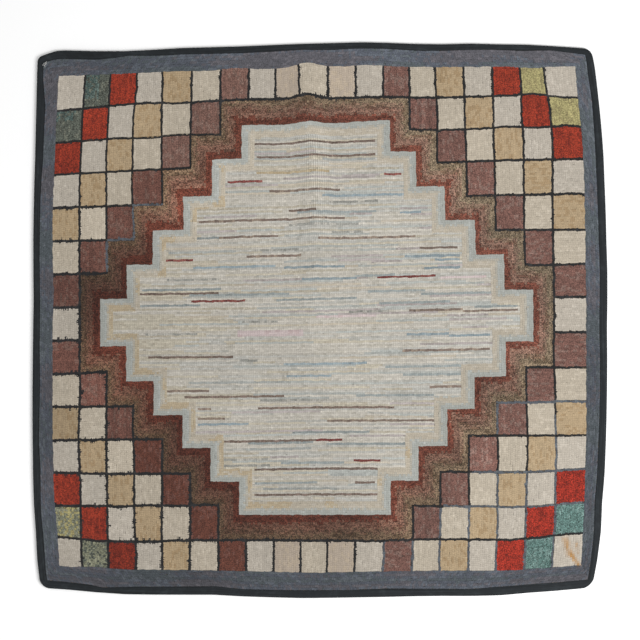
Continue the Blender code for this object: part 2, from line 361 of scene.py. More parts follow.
def lay(u, v):
    """Where a point of pattern space lies on the rug. With t its distance outside the blocks: inside
    (t = 0) it follows the drawn grid, from t = 0 to 1 it runs straight to the tape's inner edge, and from
    1 to 2 on to the hem's edge. The grid has its wobble, nudged lines and pucker added, which all fade
    out at the tape."""
    u, v = np.asarray(u, dtype=float), np.asarray(v, dtype=float)
    t = np.maximum.reduce([np.zeros_like(u), -u, u - COLUMNS, -v, v - ROWS])
    across = (u + t) / (COLUMNS + 2 * t)
    down = (v + t) / (ROWS + 2 * t)
    x = read_table(LAY_X, LAY_U, down * ROWS, across * COLUMNS)
    y = read_table(LAY_Y, LAY_V, across * COLUMNS, down * ROWS)
    fade = np.clip(1.0 - t, 0.0, 1.0)
    x = x + fade * (WOBBLE * unevenness(x, y, "wobble_x") + nudge(NUDGE_X, across * COLUMNS, down * ROWS))
    y = y + fade * (WOBBLE * unevenness(x, y, "wobble_y") + nudge(NUDGE_Y, down * ROWS, across * COLUMNS))
    y = y + pucker(x, y)
    rim_x, rim_y = (2 * across - 1) * HALF_WIDTH, (1 - 2 * down) * HALF_HEIGHT
    side_width, end_width = tape_widths(rim_x, rim_y)
    edge_x, edge_y = drawn_to_rug(
        (2 * across - 1) * (HALF_WIDTH - side_width), (1 - 2 * down) * (HALF_HEIGHT - end_width)
    )
    hem_x, hem_y = drawn_to_rug(
        (2 * across - 1) * (HALF_WIDTH - HEM_DEPTH), (1 - 2 * down) * (HALF_HEIGHT - HEM_DEPTH)
    )
    to_edge, to_hem = np.clip(t, 0.0, 1.0), np.clip(t - 1.0, 0.0, 1.0)
    x = x + (edge_x - x) * to_edge
    y = y + (edge_y - y) * to_edge
    return x + (hem_x - x) * to_hem, y + (hem_y - y) * to_hem


def ridge_height(x, y):
    """Lift of the cloth in mm: height(y) * cos^2(90 degrees * s), with s the distance from the crest over
    the half width, 1 at most."""
    table = np.array(RIDGE)[::-1]
    crest = np.interp(y, table[:, 0], table[:, 1])
    height = np.interp(y, table[:, 0], table[:, 2])
    across = np.clip(np.abs(x - crest) / RIDGE_HALF_WIDTH, 0.0, 1.0)
    return height * np.cos(across * np.pi / 2) ** 2


# ------------------------------------------------------------------ yarns

# Columns: yarn, its colour, the colour of its flecks, their share, how much rows and loops vary, and
# how strongly light and dark plies show in it.
YARNS = (
    ("white", "#a69e92", "#aea69a", 0.20, 0.015, 0.035, 0.08),
    ("cream", "#a89e8e", "#b1a797", 0.20, 0.015, 0.035, 0.08),
    ("tan", "#a18d70", "#968062", 0.25, 0.02, 0.03, 0.12),
    ("oat", "#a29586", "#a79987", 0.30, 0.015, 0.02, 0.06),
    ("mauve", "#6b4f46", "#725a51", 0.30, 0.06, 0.05, 0.42),
    ("dusk_mauve", "#684a42", "#705850", 0.30, 0.06, 0.05, 0.45),
    ("plum", "#624138", "#694e45", 0.28, 0.06, 0.05, 0.42),
    ("dark_plum", "#583328", "#603e35", 0.30, 0.06, 0.05, 0.42),
    ("red", "#842d1b", "#742618", 0.25, 0.05, 0.06, 0.55),
    ("orange_red", "#8c281a", "#7c2417", 0.28, 0.05, 0.07, 0.62),
    ("dark_green", "#4e524a", "#626459", 0.30, 0.05, 0.07, 0.60),
    ("blue_green", "#44534f", "#54625d", 0.30, 0.05, 0.07, 0.55),
    ("lime_green", "#958d62", "#89805a", 0.30, 0.03, 0.05, 0.38),
    ("sage_green", "#70715f", "#80806c", 0.35, 0.04, 0.07, 0.52),
    ("sea_green", "#4f6863", "#5f7671", 0.30, 0.04, 0.07, 0.62),
    ("black", "#1d1d1e", "#272728", 0.20, 0.04, 0.08, 0.20),
    ("slate", "#4a4e54", "#565b60", 0.25, 0.04, 0.08, 0.20),
    ("border_blue", "#474b53", "#50555d", 0.30, 0.035, 0.04, 0.25),
    ("border_plum", "#4c4b50", "#565459", 0.30, 0.035, 0.04, 0.25),
    ("border_teal", "#474d51", "#52575c", 0.30, 0.035, 0.04, 0.25),
    ("olive", "#6f5c49", "#5f4d3b", 0.30, 0.08, 0.07, 0.72),
    ("taupe", "#705747", "#604838", 0.30, 0.08, 0.07, 0.72),
    ("fawn", "#735446", "#634437", 0.30, 0.08, 0.07, 0.72),
    ("dark_rust", "#67392c", "#572e22", 0.28, 0.08, 0.07, 0.65),
    ("pale_blue", "#9b9d97", "#a0a29d", 0.20, 0.01, 0.02, 0.05),
    ("peach", "#ada494", "#b3ab9d", 0.20, 0.02, 0.03, 0.07),
    ("shell", "#a6a195", "#aca89c", 0.20, 0.02, 0.02, 0.07),
    ("honey", "#aa9b82", "#b0a48d", 0.25, 0.02, 0.03, 0.08),
    ("ecru", "#b1aca2", "#a9a499", 0.25, 0.02, 0.055, 0.07),
    ("pale_grey", "#aaa8a1", "#a19f97", 0.25, 0.02, 0.055, 0.07),
    ("sand", "#aea797", "#a59d8d", 0.25, 0.02, 0.055, 0.07),
    ("mist", "#a3a5a0", "#9b9d98", 0.25, 0.02, 0.045, 0.07),
    ("lilac", "#a39b98", "#978f8b", 0.30, 0.02, 0.05, 0.07),
    ("brown", "#6b5c53", "#73635b", 0.25, 0.05, 0.08, 0.30),
    ("rubbed_brown", "#74655c", "#88796c", 0.40, 0.05, 0.08, 0.20),
    ("grey", "#84837d", "#9b9890", 0.40, 0.05, 0.06, 0.20),
    ("blue", "#838988", "#8b908e", 0.30, 0.05, 0.05, 0.12),
    ("sky_blue", "#7f8b90", "#899396", 0.30, 0.05, 0.05, 0.12),
    ("worn_blue", "#969894", "#9b9d98", 0.30, 0.05, 0.05, 0.10),
    ("ochre", "#998a70", "#9f927a", 0.30, 0.04, 0.04, 0.12),
    ("pink", "#b5a7a5", "#ae9d9b", 0.30, 0.02, 0.03, 0.08),
    ("bright_red", "#6b3834", "#7e4d46", 0.30, 0.05, 0.08, 0.35),
)
YARN = {row[0]: number for number, row in enumerate(YARNS)}
YARN_MAIN = np.array([linear(row[1]) for row in YARNS])
YARN_FLECK = np.array([linear(row[2]) for row in YARNS])
YARN_SHARE, YARN_ROW_DRIFT, YARN_LOOP_DRIFT, YARN_GRAIN = np.array([row[3:] for row in YARNS]).T


# ------------------------------------------------------------------ the hooking, run by run

# A run is one straight row of loops: (u0, v0, u1, v1, half width in u or v, yarn, piece).

def block_rank(i, j):
    """Steps of a block from its nearest corner of the rug."""
    return min(i, COLUMNS - 1 - i) + min(j, ROWS - 1 - j)


def is_block(i, j):
    """The blocks fill each corner down a diagonal, and the outermost row all round."""
    on_rim = i in (0, COLUMNS - 1) or j in (0, ROWS - 1)
    inside = 0 <= i < COLUMNS and 0 <= j < ROWS
    return inside and (on_rim or block_rank(i, j) <= LAST_RANK)


# Yarns of the blocks by rank, and the greens and reds of each corner of the rug by (right, low).
RANK_YARNS = ("white", "green", "red", "white", "tan", "cream", "mauve", "white", "tan", "white")
CORNER_GREENS = {(0, 0): "dark_green", (1, 0): "lime_green", (0, 1): "sage_green", (1, 1): "sea_green"}
CORNER_REDS = {(0, 0): "red", (1, 0): "red", (0, 1): "red", (1, 1): "orange_red"}
PLUM_FROM, DARK_PLUM_FROM = 3, 11            # rows of blocks
MIDDLE_COLUMN = COLUMNS // 2


def block_yarn(i, j):
    """A block's yarn goes by its rank. Each corner of the rug has its own green and red; the mauve is a
    redder plum down the left side, dark at the bottom left and dusky to the right; the white is cream in
    the middle column, and the tan paler beside it."""
    name = RANK_YARNS[block_rank(i, j)]
    right, low = int(i > COLUMNS / 2), int(j > ROWS / 2)
    if name == "green":
        name = CORNER_GREENS[(right, low)]
    elif name == "red":
        name = CORNER_REDS[(right, low)]
    elif name == "mauve" and right:
        name = "dusk_mauve"
    elif name == "mauve" and j >= DARK_PLUM_FROM:
        name = "dark_plum"
    elif name == "mauve" and j >= PLUM_FROM:
        name = "plum"
    elif name == "tan" and abs(i - MIDDLE_COLUMN) == 1:
        name = "oat"
    elif name == "white" and i == MIDDLE_COLUMN:
        name = "cream"
    return YARN[name]


# Blocks whose rows run from side to side: a stretch down the right side, and a few more.
ACROSS_COLUMNS, ACROSS_ROWS = (17, 18), range(3, 11)
ACROSS_BLOCKS = ((0, 14), (1, 10), (0, 8), (16, 5), (12, 14))


def hooked_across(i, j):
    """Whether a block is hooked from side to side; the others are hooked up and down."""
    return (i in ACROSS_COLUMNS and j in ACROSS_ROWS) or (i, j) in ACROSS_BLOCKS


def clear_span(k, count, line):
    """Both ends of block k out of `count`, clear of the outlines beside it. The rug's rim has none."""
    return k + (line if k > 0 else 0.0), k + 1 - (line if k < count - 1 else 0.0)


def block_runs():
    """Rows of loops that fill each block between its outlines."""
    runs = []
    for j in range(ROWS):
        for i in range(COLUMNS):
            if not is_block(i, j):
                continue
            left, right = clear_span(i, COLUMNS, LINE_U)
            top, bottom = clear_span(j, ROWS, LINE_V)
            piece = "upper_block_loops" if j < ROWS / 2 else "lower_block_loops"
            across = hooked_across(i, j)
            low, high, cell = (top, bottom, CELL_HEIGHT) if across else (left, right, CELL_WIDTH)
            count = round((high - low) * cell / ROW_PITCH)
            half = (high - low) / count / 2
            for place in low + half * (2 * np.arange(count) + 1):
                ends = (left, place, right, place) if across else (place, top, place, bottom)
                runs.append((*ends, half, block_yarn(i, j), piece))
    return runs


def outline_runs():
    """One row of loops on every line with a block beside it. The row lines own the crossings."""
    runs = []
    for k in range(1, ROWS):
        line = [is_block(i, k - 1) or is_block(i, k) for i in range(COLUMNS)]
        starts = [i for i in range(COLUMNS) if line[i] and (i == 0 or not line[i - 1])]
        ends = [i + 1 for i in range(COLUMNS) if line[i] and (i == COLUMNS - 1 or not line[i + 1])]
        for start, end in zip(starts, ends):
            left = start - (LINE_U if start > 0 else 0.0)
            right = end + (LINE_U if end < COLUMNS else 0.0)
            runs.append((left, k, right, k, LINE_V, YARN["black"], "outline_loops"))
    for k in range(1, COLUMNS):
        for j in range(ROWS):
            if is_block(k - 1, j) or is_block(k, j):
                top, bottom = clear_span(j, ROWS, LINE_V)
                runs.append((k, top, k, bottom, LINE_U, YARN["black"], "outline_loops"))
    return runs


def lozenge_stair(quarter, extra_u, extra_v):
    """Places u of the upright and v of the level edges of one quarter of the stepped lozenge, from the
    rug's side towards its end: the stair between the blocks moved inwards by the brown band's width and
    `extra` blocks more, plus LOZENGE_DRIFT, which fades out over the brown band."""
    fade = np.clip(1.0 + extra_u / LOZENGE_SIDES, 0.0, 1.0)
    drift_u, drift_v = fade * np.array(LOZENGE_DRIFT[quarter])
    u = 1 + np.arange(STEPS) + LOZENGE_SIDES + extra_u
    v = STEPS - np.arange(STEPS) + LOZENGE_ENDS + extra_v
    u = COLUMNS - u if quarter.startswith("right") else u
    v = ROWS - v if quarter.endswith("bottom") else v
    return u + drift_u / CELL_WIDTH, v - drift_v / CELL_HEIGHT


def lozenge_corners(extra_u, extra_v):
    """Corners of the stepped lozenge in order round it."""
    corners = []
    for quarter, order in (("left top", 1), ("right top", -1), ("right bottom", 1), ("left bottom", -1)):
        u, v = lozenge_stair(quarter, extra_u, extra_v)
        stair = [(u[k + d], v[k]) for k in range(STEPS) for d in (0, 1) if k + d < STEPS]
        corners += stair[::order]
    return corners


def stepped_ring(extra_u, extra_v, half_u, half_v, yarn, piece):
    """One row of loops round the stepped lozenge. The runs from side to side own the corners."""
    corners = lozenge_corners(extra_u, extra_v)
    runs = []
    for (u0, v0), (u1, v1) in zip(corners, corners[1:] + corners[:1]):
        if v0 == v1:
            runs.append((min(u0, u1) - half_u, v0, max(u0, u1) + half_u, v0, half_v, yarn, piece))
        else:
            runs.append((u0, min(v0, v1) + half_v, u0, max(v0, v1) - half_v, half_u, yarn, piece))
    return runs


def brown_runs():
    """Rows that follow the steps from the lozenge out to the blocks' outline. Their yarn holds the number
    of the row, which `paint_brown` turns into a yarn."""
    step_u = (LOZENGE_SIDES - LINE_U) / BROWN_ROWS
    step_v = (LOZENGE_ENDS - LINE_V) / BROWN_ROWS
    runs = []
    for k in range(BROWN_ROWS):
        extra = (-(k + 0.5) * step_u, -(k + 0.5) * step_v)
        runs += stepped_ring(*extra, step_u / 2, step_v / 2, k, "brown_loops")
    return runs


def halo_runs():
    """Rows of the two pale bands, from the lozenge's edge inwards along its steps. Their yarn holds the
    number of the row, which `paint_halo` turns into a yarn."""
    step_u, step_v = ROW_PITCH / CELL_WIDTH, ROW_PITCH / CELL_HEIGHT
    runs = []
    for k in range(2 * HALO_ROWS):
        extra = ((k + 0.5) * step_u, (k + 0.5) * step_v)
        runs += stepped_ring(*extra, step_u / 2, step_v / 2, k, "halo_loops")
    return runs


def field_runs():
    """The striped field inside the halo, hooked from side to side between the stair's sides."""
    extra = (2 * HALO_ROWS * ROW_PITCH / CELL_WIDTH, 2 * HALO_ROWS * ROW_PITCH / CELL_HEIGHT)
    stairs = {quarter: lozenge_stair(quarter, *extra) for quarter in LOZENGE_DRIFT}
    top, bottom = stairs["left top"][1][-1], stairs["left bottom"][1][-1]
    count = round((bottom - top) * CELL_HEIGHT / FIELD_PITCH)
    half = (bottom - top) / count / 2
    runs = []
    for v in top + half * (2 * np.arange(count) + 1):
        upper = v < ROWS / 2
        ends = []
        for side in ("left", "right"):
            u, level = stairs[side + (" top" if upper else " bottom")]
            within = level < v + half if upper else level > v - half
            ends.append(u[np.argmax(within)])
        piece = "upper_field_loops" if upper else "lower_field_loops"
        runs.append((ends[0], v, ends[1], v, half, YARN["ecru"], piece))
    return runs


def border_runs():
    """Rings of loops from the blocks out to the tape. `paint_border` blends their yarns."""
    step = 1.0 / BORDER_ROWS
    runs = []
    for k in range(BORDER_ROWS):
        t, half = (k + 0.5) * step, step / 2
        look = (half, YARN["border_blue"], "border_loops")
        for v in (-t, ROWS + t):
            runs.append((-t - half, v, COLUMNS + t + half, v, *look))
        for u in (-t, COLUMNS + t):
            runs.append((u, -t + half, u, ROWS + t - half, *look))
    return runs


def hook(runs, rng):
    """Loops of every run, as whole arrays: centre, half sizes, yarn, run number and piece. A run holds
    its length / LOOP_PITCH loops, evenly spaced, and a long one has one more or less at random. The
    field's rows hold one loop for each COLUMN_PITCH of the drawn blocks instead, so that their loops
    stand in columns on the foundation's threads."""
    ends = np.array([run[:5] for run in runs], dtype=float)
    u0, v0, u1, v1, half = ends.T
    x0, y0 = lay(u0, v0)
    x1, y1 = lay(u1, v1)
    length = np.hypot(x1 - x0, y1 - y0)
    in_field = np.array([run[6].endswith("field_loops") for run in runs])
    length = np.where(in_field, (u1 - u0) * CELL_WIDTH * LOOP_PITCH / COLUMN_PITCH, length)
    spare = np.where((length > LONG_RUN) & ~in_field, rng.integers(-1, 2, len(runs)), 0)
    count = np.maximum(1, np.round(length / LOOP_PITCH).astype(int) + spare)
    run = np.repeat(np.arange(len(runs)), count)
    first = np.repeat(np.cumsum(count) - count, count)
    share = (np.arange(len(run)) - first + 0.5) / count[run]
    along_u = (v0 == v1)[run]
    half_along = (np.abs(u1 - u0 + v1 - v0) / count / 2)[run]
    return {
        "u": u0[run] + (u1 - u0)[run] * share,
        "v": v0[run] + (v1 - v0)[run] * share,
        "half_u": np.where(along_u, half_along, half[run]),
        "half_v": np.where(along_u, half[run], half_along),
        "along_u": along_u,
        "yarn": np.array([r[5] for r in runs])[run],
        "run": run,
        "piece": np.array([r[6] for r in runs])[run],
    }


# ------------------------------------------------------------------ which yarn and tone each loop has

# Outlines that were worked in slate instead of black. Columns: along, line, from, to.
SLATE_LINES = (
    ("u", 4, 3, 4), ("v", 3, 4, 5), ("u", 5, 2, 3), ("v", 2, 5, 6), ("u", 10, 16, 19), ("u", 12, 15.1, 19),
    ("u", 13, 14.1, 19), ("v", 12, 14, 15), ("v", 13, 14, 15), ("v", 14, 13, 15), ("v", 15, 13, 15),
    ("v", 16, 12, 15), ("v", 16, 10, 11), ("v", 17, 12, 15), ("v", 18, 10.4, 15),
)

# How thickly the outlines were worked. Each row gives the height y, then their width as a share of the
# plain one at the places across in WEIGHT_X.
WEIGHT_X = (-620, -480, -300, 0, 300, 620)
OUTLINE_WEIGHT = (
    (-550, 2.0, 2.0, 2.0, 1.4, 1.2, 1.0),
    (-250, 2.2, 1.8, 1.4, 1.2, 1.0, 1.0),
    (0, 2.0, 1.8, 1.0, 1.0, 1.0, 1.2),
    (200, 2.0, 1.2, 0.8, 1.0, 1.0, 1.2),
    (420, 1.0, 0.8, 0.8, 1.2, 1.0, 1.2),
    (500, 1.2, 1.2, 1.2, 2.0, 1.4, 1.2),
    (560, 1.2, 1.2, 1.2, 1.6, 1.4, 1.2),
)

# Yarns of the field's plain ground and how often each is taken up, in strips of a random length.
FIELD_GROUND = (
    ("ecru", 0.46), ("pale_grey", 0.24), ("sand", 0.10), ("mist", 0.10), ("peach", 0.05), ("lilac", 0.05),
)
STRIP_LENGTH = (45.0, 300.0)
STRIP_COUNT = 17            # enough for the longest row
# To the left of an edge all strips but the ecru ones are sand. Its x in each row is drawn around this
# middle with this spread, and lies further right by WARM_SLOPE mm for each mm below LOW_FIELD.
WARM_EDGE, WARM_SPREAD = -280.0, 90.0
LOW_FIELD, WARM_SLOPE = -250.0, 1.5

# Stripes of the field by yarn, charted in mm from the rug's middle. Columns: height on the
# rug, from, to. Where two lie on the same loops, the later one covers the earlier.
STRIPES = {
    "brown": (
        (412, -150, 130), (380, -148, 130), (257, -70, -10), (61, -415, -235), (-86, -395, -200),
        (-177, -310, -80), (-201, -140, 175), (-280, -220, -10), (-343, -150, 135), (-375, 80, 130),
        (-401, -150, 135),
    ),
    "sand": (
        (393, -125, -45), (393, 15, 60), (347, -145, 25), (214, -230, -80), (12, -480, -335),
        (-256, 110, 200),
    ),
    "worn_blue": (
        (374, 5, 130), (208, -190, -90), (157, -350, -195), (136, -80, 15), (-145, -300, -80),
        (-297, -170, -20), (-356, 25, 135), (-387, -130, 40),
    ),
    "ochre": ((342, -145, 25),),
    "bright_red": (
        (340, 150, 190), (321, -215, -130), (138, -355, -290), (101, 135, 270), (45, -295, -170),
        (-277, -10, 55), (-323, 80, 140),
    ),
    "lilac": (
        (331, -85, 130), (151, 30, 145), (138, 43, 153), (13, 297, 388), (5, 297, 430), (-13, 330, 390),
    ),
    "rubbed_brown": (
        (303, -115, 45), (234, -280, 60), (195, -230, -95), (193, -5, 220), (166, 231, 321),
        (151, -170, -45), (24, 205, 330), (23, 330, 458), (-68, 190, 391), (-151, 257, 325),
        (-161, -350, -255), (-206, -280, -250), (-226, -280, -220), (-230, 15, 265),
    ),
    "sky_blue": (
        (288, 5, 195), (251, 185, 235), (149, 195, 325), (139, 265, 325), (123, -290, -100), (123, -80, 60),
        (120, 240, 325), (96, -40, 85), (-34, 200, 300), (-35, 300, 395), (-101, -85, 110), (-129, -75, 25),
        (-238, -280, -165),
    ),
    "grey": (
        (275, 20, 135), (223, -70, 90), (204, 30, 100), (161, -155, -50), (93, -355, -235), (22, 70, 160),
        (-4, -180, -95), (-33, -400, -285), (-94, -185, -145), (-184, -135, 35), (-321, -220, -120),
        (-334, -220, -115),
    ),
    "blue": (
        (251, -50, 130), (190, -285, -230), (106, 85, 175), (72, -410, -230), (70, 110, 245),
        (64, 235, 395), (61, -300, -70), (49, -100, 85), (40, 135, 303), (33, -415, -275), (31, 360, 460),
        (-106, 150, 325), (-124, 195, 325), (-172, 85, 265), (-258, -65, 115), (-284, -165, -15),
        (-287, 15, 200), (-330, -90, 55), (-376, -150, -5),
    ),
    "mist": ((246, -20, 70), (-50, -195, -15)),
    "pink": ((99, 280, 385), (8, -10, 130), (-24, -190, -40), (-29, -190, -40), (-34, -190, -40)),
}
STRIPE_SEARCH = 30.0        # how far from its height a stripe's row is looked for
FULL_SHARE = 0.8            # of the most loops that a row has there

# Tweed yarns of the brown band from the lozenge outwards, one for each row, and by how much of the
# band's width a loop's place in it strays: at random, in a slow drift, and outwards to the right.
BROWN_ORDER = (
    "dark_rust", "dark_rust", "dark_rust", "fawn", "fawn", "fawn", "taupe", "taupe", "olive", "olive",
)
BROWN_SCATTER, BROWN_DRIFT, BROWN_SHIFT = 0.04, 0.03, 0.05
BROWN_SHIFT_REACH, BROWN_SHIFT_LIMITS = 300.0, (-0.6, 1.0)   # x where it is full, and its limits

# Depth of each band's dye round the rug, lot by lot. Columns: degrees counterclockwise from the right,
# share of light.
BAND_LIGHT = {
    "brown_loops": (
        (-180, 0.5), (-172, 0.95), (-155, 0.8), (-143, 0.5), (-112, 0.55), (-97, 0.75), (-83, 0.6),
        (-75, 0.75), (-67, 1.15), (-60, 0.85), (-45, 0.85), (-37, 1.2), (-22, 0.8), (-7, 1.25), (7, 0.9),
        (22, 1.0), (45, 1.3), (67, 1.2), (83, 1.0), (97, 0.85), (112, 0.95), (128, 1.0), (142, 1.5),
        (150, 1.0), (157, 0.65), (172, 0.4), (180, 0.5),
    ),
    "halo_loops": (
        (-180, 0.92), (-120, 0.95), (-70, 0.95), (-50, 0.9), (-10, 0.85), (20, 0.9), (37, 0.95),
        (75, 0.95), (100, 1.05), (142, 1.1), (157, 1.0), (172, 0.9), (180, 0.92),
    ),
    "border_loops": (
        (-180, 1.0), (-157, 0.9), (-142, 1.15), (-128, 0.85), (-112, 0.85), (-97, 1.05), (-83, 0.95),
        (-67, 1.05), (-37, 0.9), (-7, 0.85), (7, 1.1), (37, 1.2), (83, 1.2), (112, 1.1), (127, 0.9),
        (142, 0.95), (157, 1.05), (172, 0.95), (180, 1.0),
    ),
}
# The brown is greyer in one heading and redder across from it: the degrees, and how much stronger its
# green and its blue are there.
BROWN_WARMTH = (27.0, 0.12, 0.18)

# Yarns of the halo from the lozenge's edge inwards, how far a loop's place among them strays, and how
# much faster they change over on the level runs.
HALO_ORDER = ("pale_blue", "pale_blue", "mist", "shell", "peach", "peach")
HALO_SCATTER, LEVEL_HASTE = 0.05, 1.25
# Where the halo's peach is golden: a slow drift and a scatter, rising by 1 for these mm to the left and
# downwards, and the level it has to pass.
HONEY_DRIFT, HONEY_SCATTER, HONEY_LEVEL = 0.9, 0.15, 1.1
HONEY_REACH_X, HONEY_REACH_Y = 250.0, 500.0

# Yarns of the border, and how they change over: in long clouds, from row to row and at random.
BORDER_YARNS = ("border_plum", "border_blue", "border_teal")
BORDER_CLOUD, BORDER_ROW_DRIFT, BORDER_SCATTER = 0.24, 0.18, 0.12

# Painted light and shade over the whole rug: the yarn's colour made brighter or darker by region as the
# light falls, 1 being the yarn's own colour. Each row gives the height y, then the shares at the places
# across in the list that follows.
PAINTED_LIGHT_X = (-600, -350, 0, 350, 600)
PAINTED_LIGHT = (
    (-550, 0.93, 0.92, 0.86, 0.97, 0.94),
    (0, 0.96, 0.93, 0.98, 0.97, 0.94),
    (500, 1.09, 1.02, 1.04, 1.01, 1.01),
)
DYE_DRIFT = 0.02            # slow change of tone over the whole rug
# painted shade: one row of each pair darker, as the shade of the groove between the pairs
PAIR_SHADE = 0.06            # the field's rows lie in pairs, one of each pair darker
FLECK_BANDS = 0.6           # how strongly flecks gather in bands
FLECK_SQUASH = 0.12         # of x in those bands, which draws them out from side to side
RUN_SPACING = 977.0         # mm from run to run in the drift along them, so that each has its own
DARKEST = 0.004             # no loop reflects less

STAIN_COLOUR = "#f2c489"
STAIN_SOFT_END = 8.0        # mm over which a streak's ends fade
STAIN_BLOTCHES = 0.25
# Streaks of the stain in mm. Columns: start x, y, end x, y, half width, strength.
STAIN_STREAKS = (
    (566, -500, 579, -546, 6.5, 0.75),
    (580, -538, 600, -568, 4.5, 1.0),
    (592, -512, 597, -540, 4.0, 0.45),
)

# Blocks with a second yarn worked into one part. Columns: u from, to, v from, to, yarn, share.
PATCHES = (
    (1.05, 1.55, 0.0, 0.75, "blue_green", 0.60),
    (0.0, 0.9, 1.0, 1.35, "blue_green", 0.35),
    (0.0, 1.0, 13.0, 14.0, "lime_green", 0.35),
    (1.0, 2.0, 14.0, 15.0, "dark_green", 0.35),
)

# Blocks of an odd lot of dye. Columns: column, row, share of light.
DYE_LOTS = (
    (6, 0, 1.10), (10, 0, 1.10), (1, 1, 1.10), (0, 2, 0.90), (15, 3, 1.15), (1, 4, 1.10), (16, 4, 1.10),
    (0, 6, 0.85), (0, 8, 1.15), (1, 9, 1.30), (0, 10, 0.85), (2, 11, 1.15), (15, 11, 1.30), (18, 12, 0.90),
    (2, 13, 1.15), (13, 13, 0.90), (18, 13, 1.10), (2, 14, 0.75),
)


def paint_outlines(loops):
    """Swap black for slate on the lines of SLATE_LINES."""
    black = loops["yarn"] == YARN["black"]
    for along, line, start, end in SLATE_LINES:
        on_line, place = (loops["v"], loops["u"]) if along == "u" else (loops["u"], loops["v"])
        chosen = black & (loops["along_u"] == (along == "u")) & (np.abs(on_line - line) < 0.01)
        loops["yarn"][chosen & (place > start) & (place < end)] = YARN["slate"]


def paint_patches(loops, rng):
    """Work the second yarns of PATCHES into their blocks."""
    block = np.char.endswith(loops["piece"], "block_loops")
    for left, right, top, bottom, name, share in PATCHES:
        u, v = loops["u"], loops["v"]
        inside = block & (u > left) & (u < right) & (v > top) & (v < bottom)
        loops["yarn"][inside & (rng.random(len(u)) < share)] = YARN[name]


def pick(names, place):
    """Yarn numbers from a list of names, for places from 0 to 1 along the list."""
    order = np.array([YARN[name] for name in names])
    return order[np.clip((place * len(order)).astype(int), 0, len(order) - 1)]


def paint_brown(loops, x, y, rng):
    """Blend the brown band's tweeds: each loop takes the yarn of its row, or of one a little further in
    or out by a seeded scatter and a slow drift. The rust is narrower to the right."""
    brown = loops["piece"] == "brown_loops"
    shift = BROWN_SHIFT * np.clip(x[brown] / BROWN_SHIFT_REACH, *BROWN_SHIFT_LIMITS)
    row = (loops["yarn"][brown] + 0.5) / BROWN_ROWS + shift
    scatter = BROWN_SCATTER * rng.normal(0.0, 1.0, brown.sum())
    drift = scatter + BROWN_DRIFT * unevenness(x[brown], y[brown], "brown")
    loops["yarn"][brown] = pick(BROWN_ORDER, row + drift)


def paint_halo(loops, x, y, rng):
    """Blend the halo's blue into its peach: each loop's place in HALO_ORDER is its row's, scattered. The
    blue is narrower on the level runs, and the peach is golden down the left side and in patches at the
    bottom."""
    halo = loops["piece"] == "halo_loops"
    row = (loops["yarn"][halo] + 0.5) / (2 * HALO_ROWS) * np.where(loops["along_u"][halo], LEVEL_HASTE, 1.0)
    yarn = pick(HALO_ORDER, row + HALO_SCATTER * rng.normal(0.0, 1.0, halo.sum()))
    gold = HONEY_DRIFT * unevenness(x[halo], y[halo], "honey")
    gold = gold - x[halo] / HONEY_REACH_X - y[halo] / HONEY_REACH_Y
    golden = gold + HONEY_SCATTER * rng.normal(0.0, 1.0, halo.sum()) > HONEY_LEVEL
    loops["yarn"][halo] = np.where(golden & (yarn == YARN["peach"]), YARN["honey"], yarn)


def paint_border(loops, x, y, rng):
    """Let the border's blue change to plum and teal in long soft clouds, row by row."""
    border = loops["piece"] == "border_loops"
    row_drift = rng.normal(0.0, BORDER_ROW_DRIFT, loops["run"].max() + 1)[loops["run"][border]]
    cloud = 0.5 + BORDER_CLOUD * unevenness(x[border], y[border], "border") + row_drift
    loops["yarn"][border] = pick(BORDER_YARNS, cloud + rng.normal(0.0, BORDER_SCATTER, border.sum()))


def stripe_loops(x, y, row_of, height, start, end):
    """Loops under a stripe: those between its two ends, of the row whose loops there lie nearest to its
    height on average. Rows with far fewer loops there than the others aren't asked."""
    near = np.flatnonzero((x > start) & (x < end) & (np.abs(y - height) < STRIPE_SEARCH))
    loops_there = np.bincount(row_of[near])
    total = np.bincount(row_of[near], y[near])
    full = loops_there > FULL_SHARE * loops_there.max()
    off = np.where(full, np.abs(total / np.maximum(loops_there, 1) - height), np.inf)
    return near[row_of[near] == np.argmin(off)]


def paint_field(loops, x, y, rng):
    """Give each row of the field its strips of plain yarn, warmer to the left and at the bottom, then
    lay the charted stripes over them."""
    field = np.flatnonzero(np.char.endswith(loops["piece"], "field_loops"))
    rows, row_of = np.unique(loops["run"][field], return_inverse=True)
    names, shares = zip(*FIELD_GROUND)
    ground = np.array([YARN[name] for name in names])
    for row in range(len(rows)):
        here = field[row_of == row]
        cuts = x[here].min() + np.cumsum(rng.uniform(*STRIP_LENGTH, STRIP_COUNT - 1))
        strips = rng.choice(ground, STRIP_COUNT, p=shares)
        yarn = strips[np.searchsorted(cuts, x[here])]
        low = max(LOW_FIELD - y[here].mean(), 0.0)
        warm = x[here] < rng.normal(WARM_EDGE, WARM_SPREAD) + WARM_SLOPE * low
        loops["yarn"][here] = np.where(warm & (yarn != YARN["ecru"]), YARN["sand"], yarn)
    for name, stripes in STRIPES.items():
        for stripe in stripes:
            loops["yarn"][field[stripe_loops(x[field], y[field], row_of, *stripe)]] = YARN[name]


